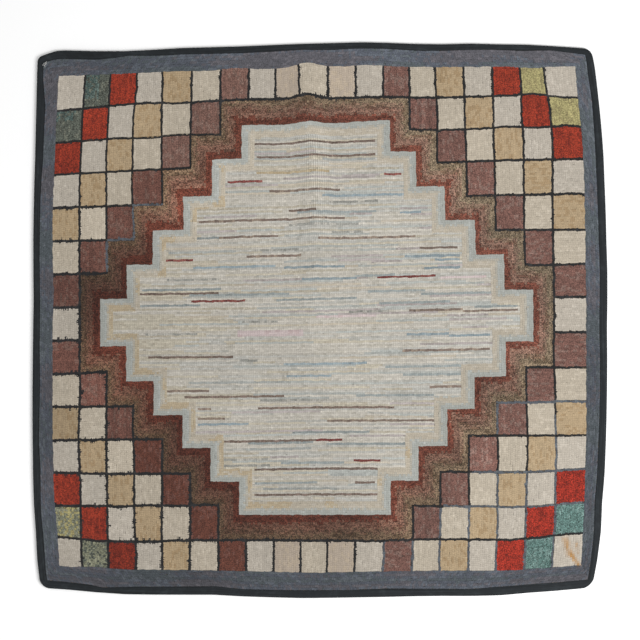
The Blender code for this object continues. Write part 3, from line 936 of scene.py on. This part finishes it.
def loop_colours(loops, x, y, rng):
    """Linear colour of each loop: its yarn or, by share, the yarn's fleck, times its tone. The tone is
    made of drifts for the run, along it, for the loop itself and over the rug, of the painted light and
    shade across the rug, of the bands' depth in BAND_LIGHT, of the lots of dye, and of the painted shade
    of the field's pairs of rows. Flecks are two loops long and gather in bands from side to side. The
    brown band's green and blue change with the heading, and the stain comes last."""
    yarn, count = loops["yarn"], len(loops["yarn"])
    bands = 1.0 + FLECK_BANDS * unevenness(FLECK_SQUASH * x, y, "fleck_bands")
    flecked = rng.random(count) < YARN_SHARE[yarn] * bands / 2
    flecked |= np.roll(flecked, 1)
    colour = np.where(flecked[:, None], YARN_FLECK[yarn], YARN_MAIN[yarn])
    place = np.where(loops["along_u"], x, y)
    run_drift = rng.normal(0.0, 1.0, loops["run"].max() + 1)[loops["run"]]
    run_drift = run_drift + unevenness(place, RUN_SPACING * loops["run"], "along_run")
    run_drift = run_drift * YARN_ROW_DRIFT[yarn]
    loop_drift = rng.normal(0.0, 1.0, count) * YARN_LOOP_DRIFT[yarn]
    tone = 1.0 + run_drift + loop_drift + DYE_DRIFT * unevenness(x, y, "dye")
    # painted light and shade: brighter or darker by region across the rug
    tone *= read_table(PAINTED_LIGHT, PAINTED_LIGHT_X, y, x)
    heading = np.degrees(np.arctan2(y, x))
    for piece, light in BAND_LIGHT.items():
        tone *= np.where(loops["piece"] == piece, np.interp(heading, *np.array(light).T), 1.0)
    faded = np.where(loops["piece"] == "brown_loops", np.cos(np.radians(heading - BROWN_WARMTH[0])), 0.0)
    colour *= 1.0 + faded[:, None] * np.array((0.0, *BROWN_WARMTH[1:]))
    block = np.char.endswith(loops["piece"], "block_loops")
    for column, row, light in DYE_LOTS:
        here = block & (loops["u"] // 1 == column) & (loops["v"] // 1 == row)
        tone *= np.where(here, light, 1.0)
    field = np.char.endswith(loops["piece"], "field_loops")
    # painted shade of the grooves between the field's pairs of rows
    tone *= np.where(field, 1.0 + PAIR_SHADE * np.where(loops["run"] % 2 == 0, 1.0, -1.0), 1.0)
    return np.clip(colour * tone[:, None] * stain(x, y), DARKEST, 1.0)


def stain(x, y):
    """Tea-coloured run in the right bottom corner block: where it lies the red stays and the green and
    blue are held back. It is a few slanting streaks, each a bell across its own line with soft ends, and
    a little blotchy."""
    taken = np.zeros(x.shape)
    for start_x, start_y, end_x, end_y, width, strength in STAIN_STREAKS:
        length = np.hypot(end_x - start_x, end_y - start_y)
        along = ((x - start_x) * (end_x - start_x) + (y - start_y) * (end_y - start_y)) / length
        across = ((x - start_x) * (end_y - start_y) - (y - start_y) * (end_x - start_x)) / length
        inside = np.clip(np.minimum(along, length - along) / STAIN_SOFT_END + 0.5, 0.0, 1.0)
        taken += strength * inside * np.exp(-(across / width) ** 2)
    taken = np.clip(taken * (1.0 + STAIN_BLOTCHES * unevenness(x, y, "stain")), 0.0, 1.0)[:, None]
    return 1.0 - taken * (1.0 - linear(STAIN_COLOUR))


# ------------------------------------------------------------------ meshes

def make_object(name, vertices_mm, faces, material):
    """A mesh object from arrays of points in mm and faces of equal size, riding on the rug's body."""
    data = bpy.data.meshes.new(name)
    data.vertices.add(len(vertices_mm))
    data.vertices.foreach_set("co", (vertices_mm * MM).astype(np.float32).ravel())
    data.loops.add(faces.size)
    data.loops.foreach_set("vertex_index", faces.astype(np.int32).ravel())
    data.polygons.add(len(faces))
    data.polygons.foreach_set("loop_start", np.arange(0, faces.size, faces.shape[1], dtype=np.int32))
    data.update(calc_edges=True)
    data.shade_smooth()
    data.materials.append(material)
    obj = bpy.data.objects.new(name, data)
    bpy.context.scene.collection.objects.link(obj)
    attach(obj, "root")
    return obj


def set_colours(data, name, domain, colours, grain):
    """Store linear colours, one for each point or face corner, as a colour attribute whose alpha is the
    yarn's grain."""
    attribute = data.color_attributes.new(name, "FLOAT_COLOR", domain)
    stored = np.empty((len(colours), 4), dtype=np.float32)
    stored[:, :3], stored[:, 3] = colours, grain
    attribute.data.foreach_set("color", stored.ravel())


def set_map(data, name, places):
    """Store a UV map from one place for each vertex."""
    corners = np.empty(len(data.loops), dtype=np.int32)
    data.loops.foreach_get("vertex_index", corners)
    data.uv_layers.new(name=name).uv.foreach_set("vector", places[corners].astype(np.float32).ravel())


def plan_map(vertices_mm):
    """Each vertex seen from above, the piece's longer side filling the map."""
    low, high = vertices_mm[:, :2].min(0), vertices_mm[:, :2].max(0)
    return (vertices_mm[:, :2] - low) / (high - low).max()


# One loop of yarn: a base ring sunk in the foundation, a waist ring that meets the neighbours' and the
# top. Columns: along, across, height, painted shade of its colour: darker down between the loops, a little
# lighter on the top as painted light.
LOOP_POINTS = np.array((
    (-0.97, -0.97, -0.20, 0.85),
    (0.97, -0.97, -0.20, 0.85),
    (0.97, 0.97, -0.20, 0.85),
    (-0.97, 0.97, -0.20, 0.85),
    (-1.06, -1.05, 0.71, 0.90),
    (1.06, -1.05, 0.71, 0.90),
    (1.06, 1.05, 0.71, 0.90),
    (-1.06, 1.05, 0.71, 0.90),
    (0.0, 0.0, 1.0, 1.06),
))
LOOP_FACES = np.array((
    (0, 1, 5), (0, 5, 4), (1, 2, 6), (1, 6, 5), (2, 3, 7), (2, 7, 6), (3, 0, 4), (3, 4, 7),
    (4, 5, 8), (5, 6, 8), (6, 7, 8), (7, 4, 8), (0, 3, 2), (0, 2, 1),
))

# How loops differ from LOOP_POINTS, as shares of their half sizes: every point is shaken, the tops lean
# (by height to the power LEAN_POWER), and each loop has its own height.
POINT_SHAKE, TOP_LEAN, LEAN_POWER, HEIGHT_DRIFT = 0.02, 0.15, 6, 0.06
# How much the loops of a piece stray across their row, and differ in width, which has a limit.
STRAY = {"outline_loops": (0.30, 0.32), "border_loops": (0.08, 0.08), "brown_loops": (0.08, 0.08)}
PLAIN_STRAY = (0.05, 0.05)
WIDTH_LIMIT = 1.3
STRIPE_SPREAD = 1.25        # the stripes' yarn is a little thicker than the ground's

# One end of each loop is in shade. The field's loops lean on one another, and more so on the old fold's
# crest, in a band that sets in above CREST_START.
PLAIN_END_SHADE, FIELD_END_SHADE, CREST_SHADE = 0.12, 0.13, 0.24
CREST_HALF_WIDTH, CREST_START, CREST_RISE = 22.0, 150.0, 150.0
SHARP_ANGLE = 60.0          # in degrees


def loop_spread(name, yarn, x, y, rng):
    """Width of each loop as a share of its row's: a seeded draw, times the outlines' weight or, in the
    field, the thicker yarn of the stripes."""
    drawn = np.clip(rng.normal(0.0, 1.0, (len(yarn), 1)), -WIDTH_LIMIT, WIDTH_LIMIT)
    spread = 1.0 + STRAY.get(name, PLAIN_STRAY)[1] * drawn
    if name == "outline_loops":
        spread *= read_table(OUTLINE_WEIGHT, WEIGHT_X, y, x)[:, None]
    if name.endswith("field_loops"):
        ground = [YARN[ground_name] for ground_name, _ in FIELD_GROUND]
        spread *= np.where(np.isin(yarn, ground), 1.0, STRIPE_SPREAD)[:, None]
    return spread


def end_shade(name, x, y):
    """Share of light that a loop of the piece loses towards its shaded end, at its points (x, y)."""
    if not name.endswith("field_loops"):
        return PLAIN_END_SHADE
    crest = np.exp(-((x - np.interp(y, *CREST)) / CREST_HALF_WIDTH) ** 2)
    crest = crest * np.clip((y - CREST_START) / CREST_RISE, 0.0, 1.0)
    return FIELD_END_SHADE + CREST_SHADE * crest


def make_loops(name, loops, colours, material, rng):
    """All the loops of a piece as one mesh. Each is LOOP_POINTS scaled to its half sizes and its spread,
    moved astray across its row, shaken and leant a little, carried to the rug by `lay`, and raised by
    GROUND_TOP, its own height and the ridge. Runs up and down are mirrored by the swap of along and
    across, so runs from side to side turn theirs. The top is smooth, with sharp edges down its sides."""
    chosen = loops["piece"] == name
    count, size = int(chosen.sum()), len(LOOP_POINTS)
    u, v, yarn = loops["u"][chosen], loops["v"][chosen], loops["yarn"][chosen]
    along, across, height, shade = LOOP_POINTS.T
    shake = rng.normal(0.0, POINT_SHAKE, (2, count, size))
    lean = rng.normal(0.0, TOP_LEAN, (2, count, 1)) * np.clip(height, 0.0, 1.0) ** LEAN_POWER
    middle_x, middle_y = lay(u, v)
    spread = loop_spread(name, yarn, middle_x, middle_y, rng)
    stray = STRAY.get(name, PLAIN_STRAY)[0]
    astray = rng.normal(0.0, stray, count) + stray * unevenness(middle_x, middle_y, "stray")
    along = along + shake[0] + lean[0]
    across = across * spread + astray[:, None] + shake[1] + lean[1]
    along_u = loops["along_u"][chosen][:, None]
    step_u = np.where(along_u, along, across) * loops["half_u"][chosen][:, None]
    step_v = np.where(along_u, across, along) * loops["half_v"][chosen][:, None]
    x, y = lay(u[:, None] + step_u, v[:, None] + step_v)
    tall = (PILE_TOP - GROUND_TOP) * (1.0 + rng.normal(0.0, HEIGHT_DRIFT, (count, 1)))
    z = GROUND_TOP + tall * height + ridge_height(x, y)
    vertices = np.stack([x, y, z], axis=-1).reshape(-1, 3)
    turned = np.where(along_u[:, :, None], LOOP_FACES[:, ::-1], LOOP_FACES)
    faces = (turned + (np.arange(count) * size)[:, None, None]).reshape(-1, 3)
    obj = make_object(name, vertices, faces, material)
    obj.data.set_sharp_from_angle(angle=np.radians(SHARP_ANGLE))
    # Painted shade: each loop's colour darker down between the loops and at its shaded end, more so on the
    # fold's crest, and a little lighter on its top as painted light.
    shade = shade * (1.0 - end_shade(name, x, y) * LOOP_POINTS[:, 0])
    shaded = (colours[chosen][:, None] * (shade + np.zeros((count, 1)))[:, :, None]).reshape(-1, 3)
    set_colours(obj.data, "yarn", "POINT", shaded, np.repeat(YARN_GRAIN[yarn], size))
    set_map(obj.data, "OFBake", plan_map(vertices))
    return obj


def pattern_colour(loops, colours, u, v):
    """Colour of the pattern at places (u, v): every loop colours its own cell of a raster one row
    wide, and empty cells take a neighbour's."""
    step_u, step_v = ROW_PITCH / CELL_WIDTH, ROW_PITCH / CELL_HEIGHT
    wide, high = int((COLUMNS + 2) / step_u) + 2, int((ROWS + 2) / step_v) + 2
    raster = np.full((wide, high), -1)
    raster[((loops["u"] + 1) / step_u).astype(int), ((loops["v"] + 1) / step_v).astype(int)] = (
        np.arange(len(colours))
    )
    for _ in range(3):
        for shift in ((0, 1), (0, -1), (1, 0), (-1, 0)):
            raster = np.where(raster < 0, np.roll(raster, shift, (0, 1)), raster)
    i = np.clip(((u + 1) / step_u).astype(int), 0, wide - 2)
    j = np.clip(((v + 1) / step_v).astype(int), 0, high - 2)
    return colours[raster[i, j]]


# The foundation's grid: its strips across a block, and its lines on the hem as distances t of `lay`.
GRID_STRIPS_U, GRID_STRIPS_V = 2, 3
HEM_LINES, HEM_START = (1.04, 1.5, 2.0), 1.02
GROUND_SHADE = 0.75         # light left on the ground down between the loops
GROUND_GRAIN = 0.15


def grid_lines(cells, line, inner):
    """Places of the foundation's grid lines across `cells` blocks: both edges of every outline with
    `inner` strips between them, the border's rings, and the hem."""
    block = np.concatenate([[0.0], np.linspace(line, 1.0 - line, inner + 1)])
    blocks = (np.arange(cells)[:, None] + block).ravel()
    border = (np.arange(BORDER_ROWS) + 1) / BORDER_ROWS
    outer = np.concatenate([border, HEM_LINES])
    return np.concatenate([-outer[::-1], blocks, [cells], cells + outer])


def make_foundation(loops, colours, material):
    """The woven foundation with its stitches on the back: a slab over the grid of `lay`, its top at
    GROUND_TOP, its underside flat on the floor but raised to HEM_BOTTOM where the tape wraps it, and both
    lifted by the ridge. Each face has the colour of the pattern at its middle, and the top's faces are
    darkened by GROUND_SHADE as painted shade down between the loops."""
    lines_u = grid_lines(COLUMNS, LINE_U, GRID_STRIPS_U)
    lines_v = grid_lines(ROWS, LINE_V, GRID_STRIPS_V)
    u, v = np.meshgrid(lines_u, lines_v, indexing="ij")
    x, y = lay(u, v)
    t = np.maximum.reduce([-u, u - COLUMNS, -v, v - ROWS])
    lift = ridge_height(x, y)
    top = np.stack([x, y, GROUND_TOP + lift], axis=-1)
    bottom = np.stack([x, y, np.where(t > HEM_START, HEM_BOTTOM, 0.0) + lift], axis=-1)
    index = np.arange(u.size).reshape(u.shape)
    quads = np.stack([index[:-1, :-1], index[:-1, 1:], index[1:, 1:], index[1:, :-1]], axis=-1)
    quads = quads.reshape(-1, 4)
    rim = np.concatenate([index[:, 0], index[-1, 1:], index[-2::-1, -1], index[0, -2:0:-1]])
    after = np.roll(rim, -1)
    sides = np.stack([rim, after, after + u.size, rim + u.size], axis=-1)
    faces = np.concatenate([quads, quads[:, ::-1] + u.size, sides[:, ::-1]])
    vertices = np.concatenate([top.reshape(-1, 3), bottom.reshape(-1, 3)])
    obj = make_object("hooked_ground", vertices, faces, material)
    middle_u = np.concatenate([u, u]).ravel()[faces].mean(axis=1)
    middle_v = np.concatenate([v, v]).ravel()[faces].mean(axis=1)
    colour = pattern_colour(loops, colours, middle_u, middle_v)
    # painted shade: the foundation's top between the loops is darker than the yarn above it
    colour[:len(quads)] *= GROUND_SHADE
    set_colours(obj.data, "yarn", "CORNER", np.repeat(colour, 4, axis=0), GROUND_GRAIN)
    return obj


# The tape's cross-section round the hem, ending where it begins. Each point's depth from the rug's
# edge is a share of the tape's width plus some mm. Columns: share, mm, z.
TAPE_SECTION = np.array((
    (1.0, -0.30, 0.05), (0.5, 0.0, 0.0), (0.0, 1.80, 0.0), (0.0, 0.90, 0.24), (0.0, 0.24, 0.90),
    (0.0, 0.0, 1.80), (0.0, 0.0, 4.20), (0.0, 0.24, 5.10), (0.0, 0.90, 5.76), (0.0, 1.80, 6.0),
    (0.5, 0.0, 6.10), (1.0, -1.0, 6.05), (1.0, -0.30, 5.50), (1.0, -0.50, 4.95), (0.5, 0.0, 4.95),
    (0.0, 1.30, 4.90), (0.0, 1.0, 4.0), (0.0, 1.0, 2.0), (0.0, 1.30, 1.10), (0.5, 0.0, 1.10),
    (1.0, -0.50, 1.05),
))
OUTERMOST_POINT = 5         # of the section, on the rug's very edge
TAPE_UNDULATION, FRONT_LAYER_Z = 0.12, 5.0   # in mm, of the points above this z
CORNER_STRETCH, CORNER_STEP, SIDE_STEP = 26.0, 2.0, 10.0     # between stations round the rug
PLAIN_STATION = 200         # a station on a straight stretch


def path_length(points):
    """Length along a path at each of its points, 0 at the first."""
    return np.concatenate([[0.0], np.cumsum(np.linalg.norm(np.diff(points, axis=0), axis=1))])


def side_places(length):
    """Stations from -1 to 1 along a side of this length: CORNER_STEP apart near its ends, and about
    SIDE_STEP apart between them."""
    near = np.arange(0.0, CORNER_STRETCH, CORNER_STEP) / length
    middle = np.linspace(CORNER_STRETCH / length, 1.0 - CORNER_STRETCH / length, int(length / SIDE_STEP))
    return np.concatenate([near, middle, 1.0 - near[:0:-1]]) * 2 - 1


def ring_places():
    """Stations once round the square from -1 to 1, counterclockwise from its left bottom corner."""
    a, b = side_places(2 * HALF_WIDTH), side_places(2 * HALF_HEIGHT)
    one_a, one_b = np.ones_like(a), np.ones_like(b)
    return np.concatenate([a, one_b, -a, -one_b]), np.concatenate([-one_a, b, one_a, -b])


def ring_points(a, b, share, depth):
    """Rug place of station (a, b) of the square, `share` of the tape's width plus `depth` mm in."""
    side_width, end_width = tape_widths(a * HALF_WIDTH, b * HALF_HEIGHT)
    in_x, in_y = share * side_width + depth, share * end_width + depth
    return drawn_to_rug(a * (HALF_WIDTH - in_x), b * (HALF_HEIGHT - in_y))


def make_binding(material):
    """Cotton tape folded over the hem: TAPE_SECTION carried round the rug's edge, its top undulating
    by a fraction of a mm. The map runs along the tape in u and across its unfolded width in v, in m."""
    a, b = ring_places()
    share, depth, z = TAPE_SECTION.T
    x, y = ring_points(a[:, None], b[:, None], share, depth)
    front = (z > FRONT_LAYER_Z) * (share > 0.0)
    undulation = TAPE_UNDULATION * unevenness(x, y, "tape") * front
    vertices = np.stack([x, y, z + undulation + ridge_height(x, y)], axis=-1)
    stations, around = vertices.shape[:2]
    index = np.arange(stations * around).reshape(stations, around)
    after, beside = np.roll(index, -1, axis=0), np.roll(index, -1, axis=1)
    corner = np.roll(after, -1, axis=1)
    faces = np.stack([index, beside, corner, after], axis=-1)[:, :, ::-1].reshape(-1, 4)
    obj = make_object("binding", vertices.reshape(-1, 3), faces, material)
    edge = vertices[:, OUTERMOST_POINT, :2]
    along, across = path_length(edge), path_length(vertices[PLAIN_STATION])
    along_end = along[-1] + np.linalg.norm(edge[0] - edge[-1])
    place_u = np.broadcast_to(along[:, None], (stations, around))
    next_u = np.broadcast_to(np.append(along[1:], along_end)[:, None], (stations, around))
    place_v = np.broadcast_to(across, (stations, around))
    next_v = np.broadcast_to(np.append(across[1:], across[-1] + 1.0), (stations, around))
    corners = np.stack([
        np.stack([next_u, place_v], axis=-1),
        np.stack([next_u, next_v], axis=-1),
        np.stack([place_u, next_v], axis=-1),
        np.stack([place_u, place_v], axis=-1),
    ], axis=2)
    obj.data.uv_layers.new(name="tape").uv.foreach_set("vector", (corners * MM).astype(np.float32).ravel())
    return obj


def make_threads(name, paths, radius, material):
    """Round threads along paths of equal length: at each point a square ring of that radius, turned
    across the path, with closed ends."""
    count, length = paths.shape[:2]
    along = np.gradient(paths, axis=1)
    along /= np.linalg.norm(along, axis=-1, keepdims=True)
    beside = np.cross(along, (0.0, 0.0, 1.0))
    beside /= np.linalg.norm(beside, axis=-1, keepdims=True)
    over = np.cross(beside, along)
    ring = np.stack([beside, over, -beside, -over], axis=2) * radius
    vertices = paths[:, :, None, :] + ring
    index = np.arange(count * length * 4).reshape(count, length, 4)
    walls = np.stack([
        index[:, :-1], index[:, 1:], np.roll(index, -1, axis=2)[:, 1:], np.roll(index, -1, axis=2)[:, :-1],
    ], axis=-1)[..., ::-1].reshape(-1, 4)
    ends = np.concatenate([index[:, 0], index[:, -1, ::-1]])
    return make_object(name, vertices.reshape(-1, 3), np.concatenate([walls, ends]), material)


# One stitch. Columns: share of its slant along the tape, mm inwards of the tape's inner edge, z.
STITCH_POINTS = np.array(((-1.0, -1.7, 5.85), (-0.4, -0.8, 6.45), (0.3, 0.3, 6.50), (1.0, 1.2, 6.10)))
STITCH_PITCH, STITCH_JITTER = 9.5, 0.2       # jitter as a share of the pitch
STITCH_SLANT = (0.6, 1.6)
STITCH_RADIUS = 0.32


def make_stitches(material, rng):
    """Hand stitches that hold the tape down: short slanting strokes over its inner edge, each following
    STITCH_POINTS at its own place and slant."""
    a, b = ring_places()
    along = path_length(np.stack(ring_points(a, b, 1.0, 0.0), axis=-1))
    count = int(along[-1] / STITCH_PITCH)
    jitter = rng.uniform(-STITCH_JITTER, STITCH_JITTER, count)
    place = (np.arange(count) + 0.5 + jitter) * STITCH_PITCH
    slant = rng.uniform(*STITCH_SLANT, count)
    steps, reach, height = STITCH_POINTS.T
    at = place[:, None] + slant[:, None] * steps
    a_at, b_at = np.interp(at, along, a), np.interp(at, along, b)
    x, y = ring_points(a_at, b_at, 1.0, reach)
    paths = np.stack([x, y, height + 0 * x], axis=-1)
    return make_threads("hem_stitches", paths, STITCH_RADIUS, material)


LOOSE_THREAD_PLACE, LOOSE_THREAD_SCATTER = (-634.0, 591.0), 1.6
LOOSE_THREAD_HEADINGS = (0.8, 0.6, 2.3, 1.7, 0.2)            # in radians
LOOSE_THREAD_TURN = 0.5     # from one end to the other, in radians
LOOSE_THREAD_LENGTH = (6.0, 11.0)
LOOSE_THREAD_RADIUS = 0.6
LOOSE_THREAD_Z, LOOSE_THREAD_ARCH, LOOSE_THREAD_LAYER = 8.2, 0.6, 0.4


def make_loose_threads(material, rng):
    """A few short pale ends of thread at the worn left top corner, crossing over the tape's edge: gently
    turning arcs, arched by a half wave and each a little above the one before."""
    s = np.linspace(-0.5, 0.5, 6)
    heading = np.array(LOOSE_THREAD_HEADINGS)[:, None] + LOOSE_THREAD_TURN * s
    number = np.arange(len(heading))[:, None]
    length = rng.uniform(*LOOSE_THREAD_LENGTH, (len(heading), 1))
    middle = np.array(LOOSE_THREAD_PLACE) + rng.normal(0.0, LOOSE_THREAD_SCATTER, (len(heading), 2))
    x = middle[:, :1] + length * s * np.cos(heading)
    y = middle[:, 1:] + length * s * np.sin(heading)
    z = LOOSE_THREAD_Z + LOOSE_THREAD_ARCH * np.cos(np.pi * s) + LOOSE_THREAD_LAYER * number
    paths = np.stack([x, y, z], axis=-1)
    return make_threads("loose_threads", paths, LOOSE_THREAD_RADIUS, material)


# ------------------------------------------------------------------ materials

def node(tree, kind, inputs=None, **settings):
    """Add a shader node with its settings. Each input gets a value, or a link from another node's
    output."""
    made = tree.nodes.new("ShaderNode" + kind)
    for name, value in settings.items():
        setattr(made, name, value)
    for name, value in (inputs or {}).items():
        if isinstance(value, bpy.types.NodeSocket):
            tree.links.new(value, made.inputs[name])
        else:
            made.inputs[name].default_value = value
    return made


def new_material(name):
    """An empty node material and its tree."""
    made = bpy.data.materials.new(name)
    made.use_nodes = True
    made.node_tree.nodes.clear()
    return made, made.node_tree


def rgba(text):
    """A hex value as an opaque linear colour."""
    return (*linear(text), 1.0)


def wool_yarn():
    """Wool yarn: matt and slightly hairy. Its fibres scatter light into a faint sheen at grazing angles,
    and the plied strands break each loop's colour into finer light and dark."""
    made, tree = new_material("hooked_wool_yarn")
    places = node(tree, "TexCoord").outputs["Object"]
    yarn = node(tree, "Attribute", attribute_name="yarn").outputs
    plies = node(tree, "TexNoise", {"Vector": places, "Scale": 1 / (PLY_WIDTH * MM), "Detail": 1.0})
    swing = node(tree, "MapRange", {
        "Value": plies.outputs["Fac"], "From Min": 0.35, "From Max": 0.65, "To Min": -1.0, "To Max": 1.0,
    })
    tone = node(tree, "Math", {
        0: swing.outputs["Result"], 1: yarn["Alpha"], 2: 1.0,
    }, operation="MULTIPLY_ADD")
    toned = node(tree, "VectorMath", {
        "Vector": yarn["Color"], "Scale": tone.outputs["Value"],
    }, operation="SCALE")
    raised = node(tree, "Bump", {"Height": plies.outputs["Fac"], "Strength": 0.2, "Distance": 0.3 * MM})
    shader = node(tree, "BsdfPrincipled", {
        "Base Color": toned.outputs["Vector"], "Roughness": 0.93, "Specular IOR Level": 0.2,
        "Sheen Weight": 0.12, "Sheen Roughness": 0.6, "Normal": raised.outputs["Normal"],
    })
    node(tree, "OutputMaterial", {"Surface": shader.outputs["BSDF"]})
    return made


def stitched_linen():
    """Linen foundation, its back covered by flat rows of wool: dry and matt, with the weave's threads
    standing up between the stitches."""
    made, tree = new_material("stitched_linen")
    places = node(tree, "TexCoord").outputs["Object"]
    yarn = node(tree, "Attribute", attribute_name="yarn").outputs["Color"]
    specks = node(tree, "TexNoise", {"Vector": places, "Scale": 1 / (LINEN_THREAD * MM), "Detail": 1.0})
    shows = node(tree, "MapRange", {
        "Value": specks.outputs["Fac"], "From Min": 0.52, "From Max": 0.68, "To Min": 0.0, "To Max": 0.75,
    })
    mixed = node(tree, "Mix", {
        "Factor": shows.outputs["Result"], 6: yarn, 7: rgba("#a08c6c"),
    }, data_type="RGBA")
    weave = node(tree, "TexWave", {
        "Vector": places, "Scale": WAVE_PERIOD / (ROW_PITCH * MM), "Distortion": 1.5, "Detail Scale": 3.0,
    }, bands_direction="X")
    raised = node(tree, "Bump", {"Height": weave.outputs["Fac"], "Strength": 0.6, "Distance": 0.6 * MM})
    shader = node(tree, "BsdfPrincipled", {
        "Base Color": mixed.outputs[2], "Roughness": 0.95, "Specular IOR Level": 0.2,
        "Normal": raised.outputs["Normal"],
    })
    node(tree, "OutputMaterial", {"Surface": shader.outputs["BSDF"]})
    return made


def twill_tape():
    """Cotton twill tape, near black and washed: fine slanting ribs, long lighter and darker bands along it,
    and paler threads where the fold has rubbed."""
    made, tree = new_material("cotton_twill_tape")
    places = node(tree, "UVMap", uv_map="tape").outputs["UV"]
    slanted = node(tree, "Mapping", {"Vector": places, "Rotation": (0.0, 0.0, np.radians(TWILL_SLANT))})
    twill = node(tree, "TexWave", {
        "Vector": slanted.outputs["Vector"], "Scale": WAVE_PERIOD / (TWILL_RIB * MM), "Distortion": 0.6,
    })
    drawn = node(tree, "Mapping", {"Vector": places, "Scale": TAPE_BANDS})
    bands = node(tree, "TexNoise", {"Vector": drawn.outputs["Vector"], "Scale": 1.0, "Detail": 2.0})
    rubbed = node(tree, "TexNoise", {
        "Vector": places, "Scale": RUBBED_PATCHES, "Detail": 5.0, "Roughness": 0.65,
    })
    tone = node(tree, "MapRange", {
        "Value": bands.outputs["Fac"], "From Min": 0.35, "From Max": 0.65, "To Min": 0.7, "To Max": 1.35,
    })
    ribs = node(tree, "MapRange", {"Value": twill.outputs["Fac"], "To Min": 0.85, "To Max": 1.15})
    both = node(tree, "Math", {
        0: tone.outputs["Result"], 1: ribs.outputs["Result"],
    }, operation="MULTIPLY")
    wear = node(tree, "MapRange", {"Value": rubbed.outputs["Fac"], "From Min": 0.5, "From Max": 0.75})
    cloth = node(tree, "Mix", {
        "Factor": wear.outputs["Result"], 6: rgba("#1a1e21"), 7: rgba("#262b2e"),
    }, data_type="RGBA")
    toned = node(tree, "VectorMath", {
        "Vector": cloth.outputs[2], "Scale": both.outputs["Value"],
    }, operation="SCALE")
    raised = node(tree, "Bump", {"Height": twill.outputs["Fac"], "Strength": 0.35, "Distance": 0.2 * MM})
    shader = node(tree, "BsdfPrincipled", {
        "Base Color": toned.outputs["Vector"], "Roughness": 0.82, "Specular IOR Level": 0.25,
        "Sheen Weight": 0.05, "Sheen Roughness": 0.5, "Normal": raised.outputs["Normal"],
    })
    node(tree, "OutputMaterial", {"Surface": shader.outputs["BSDF"]})
    return made


def cotton_thread(name, dark, light):
    """Spun cotton thread: dull, with a slight twist of light and dark along it."""
    made, tree = new_material(name)
    places = node(tree, "TexCoord").outputs["Object"]
    twist = node(tree, "TexNoise", {"Vector": places, "Scale": THREAD_TWISTS})
    colour = node(tree, "Mix", {
        "Factor": twist.outputs["Fac"], 6: rgba(dark), 7: rgba(light),
    }, data_type="RGBA")
    shader = node(tree, "BsdfPrincipled", {"Base Color": colour.outputs[2], "Roughness": 0.8})
    node(tree, "OutputMaterial", {"Surface": shader.outputs["BSDF"]})
    return made


def studio_floor():
    """Matt white studio floor: plain, pale and even."""
    made, tree = new_material("studio_floor")
    shader = node(tree, "BsdfPrincipled", {
        "Base Color": rgba("#fbfbfb"), "Roughness": 1.0, "Specular IOR Level": 0.0,
    })
    node(tree, "OutputMaterial", {"Surface": shader.outputs["BSDF"]})
    return made


# ------------------------------------------------------------------ floor, light and camera

def make_floor():
    """A square floor just under the rug."""
    corners = FLOOR_HALF * np.array([(-1, -1), (1, -1), (1, 1), (-1, 1)])
    data = bpy.data.meshes.new("floor")
    data.from_pydata([(x, y, FLOOR_Z) for x, y in corners], [], [(0, 1, 2, 3)])
    data.materials.append(studio_floor())
    floor = bpy.data.objects.new("floor", data)
    bpy.context.scene.collection.objects.link(floor)


def make_light():
    """Even white light from all round, and one wide soft box low at the right bottom side."""
    world = bpy.data.worlds.new("studio")
    world.use_nodes = True
    background = world.node_tree.nodes["Background"]
    background.inputs["Color"].default_value = (1.0, 1.0, 1.0, 1.0)
    background.inputs["Strength"].default_value = WORLD_STRENGTH
    bpy.context.scene.world = world
    lamp = bpy.data.lights.new("soft_box", "AREA")
    lamp.shape, lamp.size = "SQUARE", SOFT_BOX_SIZE
    lamp.energy = SOFT_BOX_POWER
    box = bpy.data.objects.new("soft_box", lamp)
    box.location = SOFT_BOX_PLACE
    box.rotation_euler = (-box.location).to_track_quat("-Z", "Y").to_euler()
    bpy.context.scene.collection.objects.link(box)


def make_camera():
    """A camera straight above the rug, its picture VIEW_WIDTH wide at the pile's top."""
    data = bpy.data.cameras.new("camera")
    data.lens, data.sensor_width = CAMERA_LENS, CAMERA_SENSOR
    camera = bpy.data.objects.new("camera", data)
    distance = VIEW_WIDTH * CAMERA_LENS / CAMERA_SENSOR
    camera.location = (VIEW_CENTRE[0], VIEW_CENTRE[1], PILE_TOP * MM + distance)
    bpy.context.scene.collection.objects.link(camera)
    bpy.context.scene.camera = camera


def main():
    rng = np.random.default_rng(SEED)
    runs = block_runs() + outline_runs() + brown_runs() + halo_runs() + field_runs() + border_runs()
    loops = hook(runs, rng)
    x, y = lay(loops["u"], loops["v"])
    paint_outlines(loops)
    paint_patches(loops, rng)
    paint_brown(loops, x, y, rng)
    paint_halo(loops, x, y, rng)
    paint_border(loops, x, y, rng)
    paint_field(loops, x, y, rng)
    colours = loop_colours(loops, x, y, rng)
    wool = wool_yarn()
    tops = [make_loops(name, loops, colours, wool, rng) for name in LOOP_PIECES]
    foundation = make_foundation(loops, colours, stitched_linen())
    binding = make_binding(twill_tape())
    stitches = make_stitches(cotton_thread("sewing_thread", "#1c1e21", "#3c4043"), rng)
    ends = make_loose_threads(cotton_thread("loose_thread", "#8e8f8f", "#bcbcba"), rng)
    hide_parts("hooked_panel")
    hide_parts("edge_binding")
    make_floor()
    make_light()
    make_camera()
    bpy.context.scene.view_settings.view_transform = "Standard"


main()
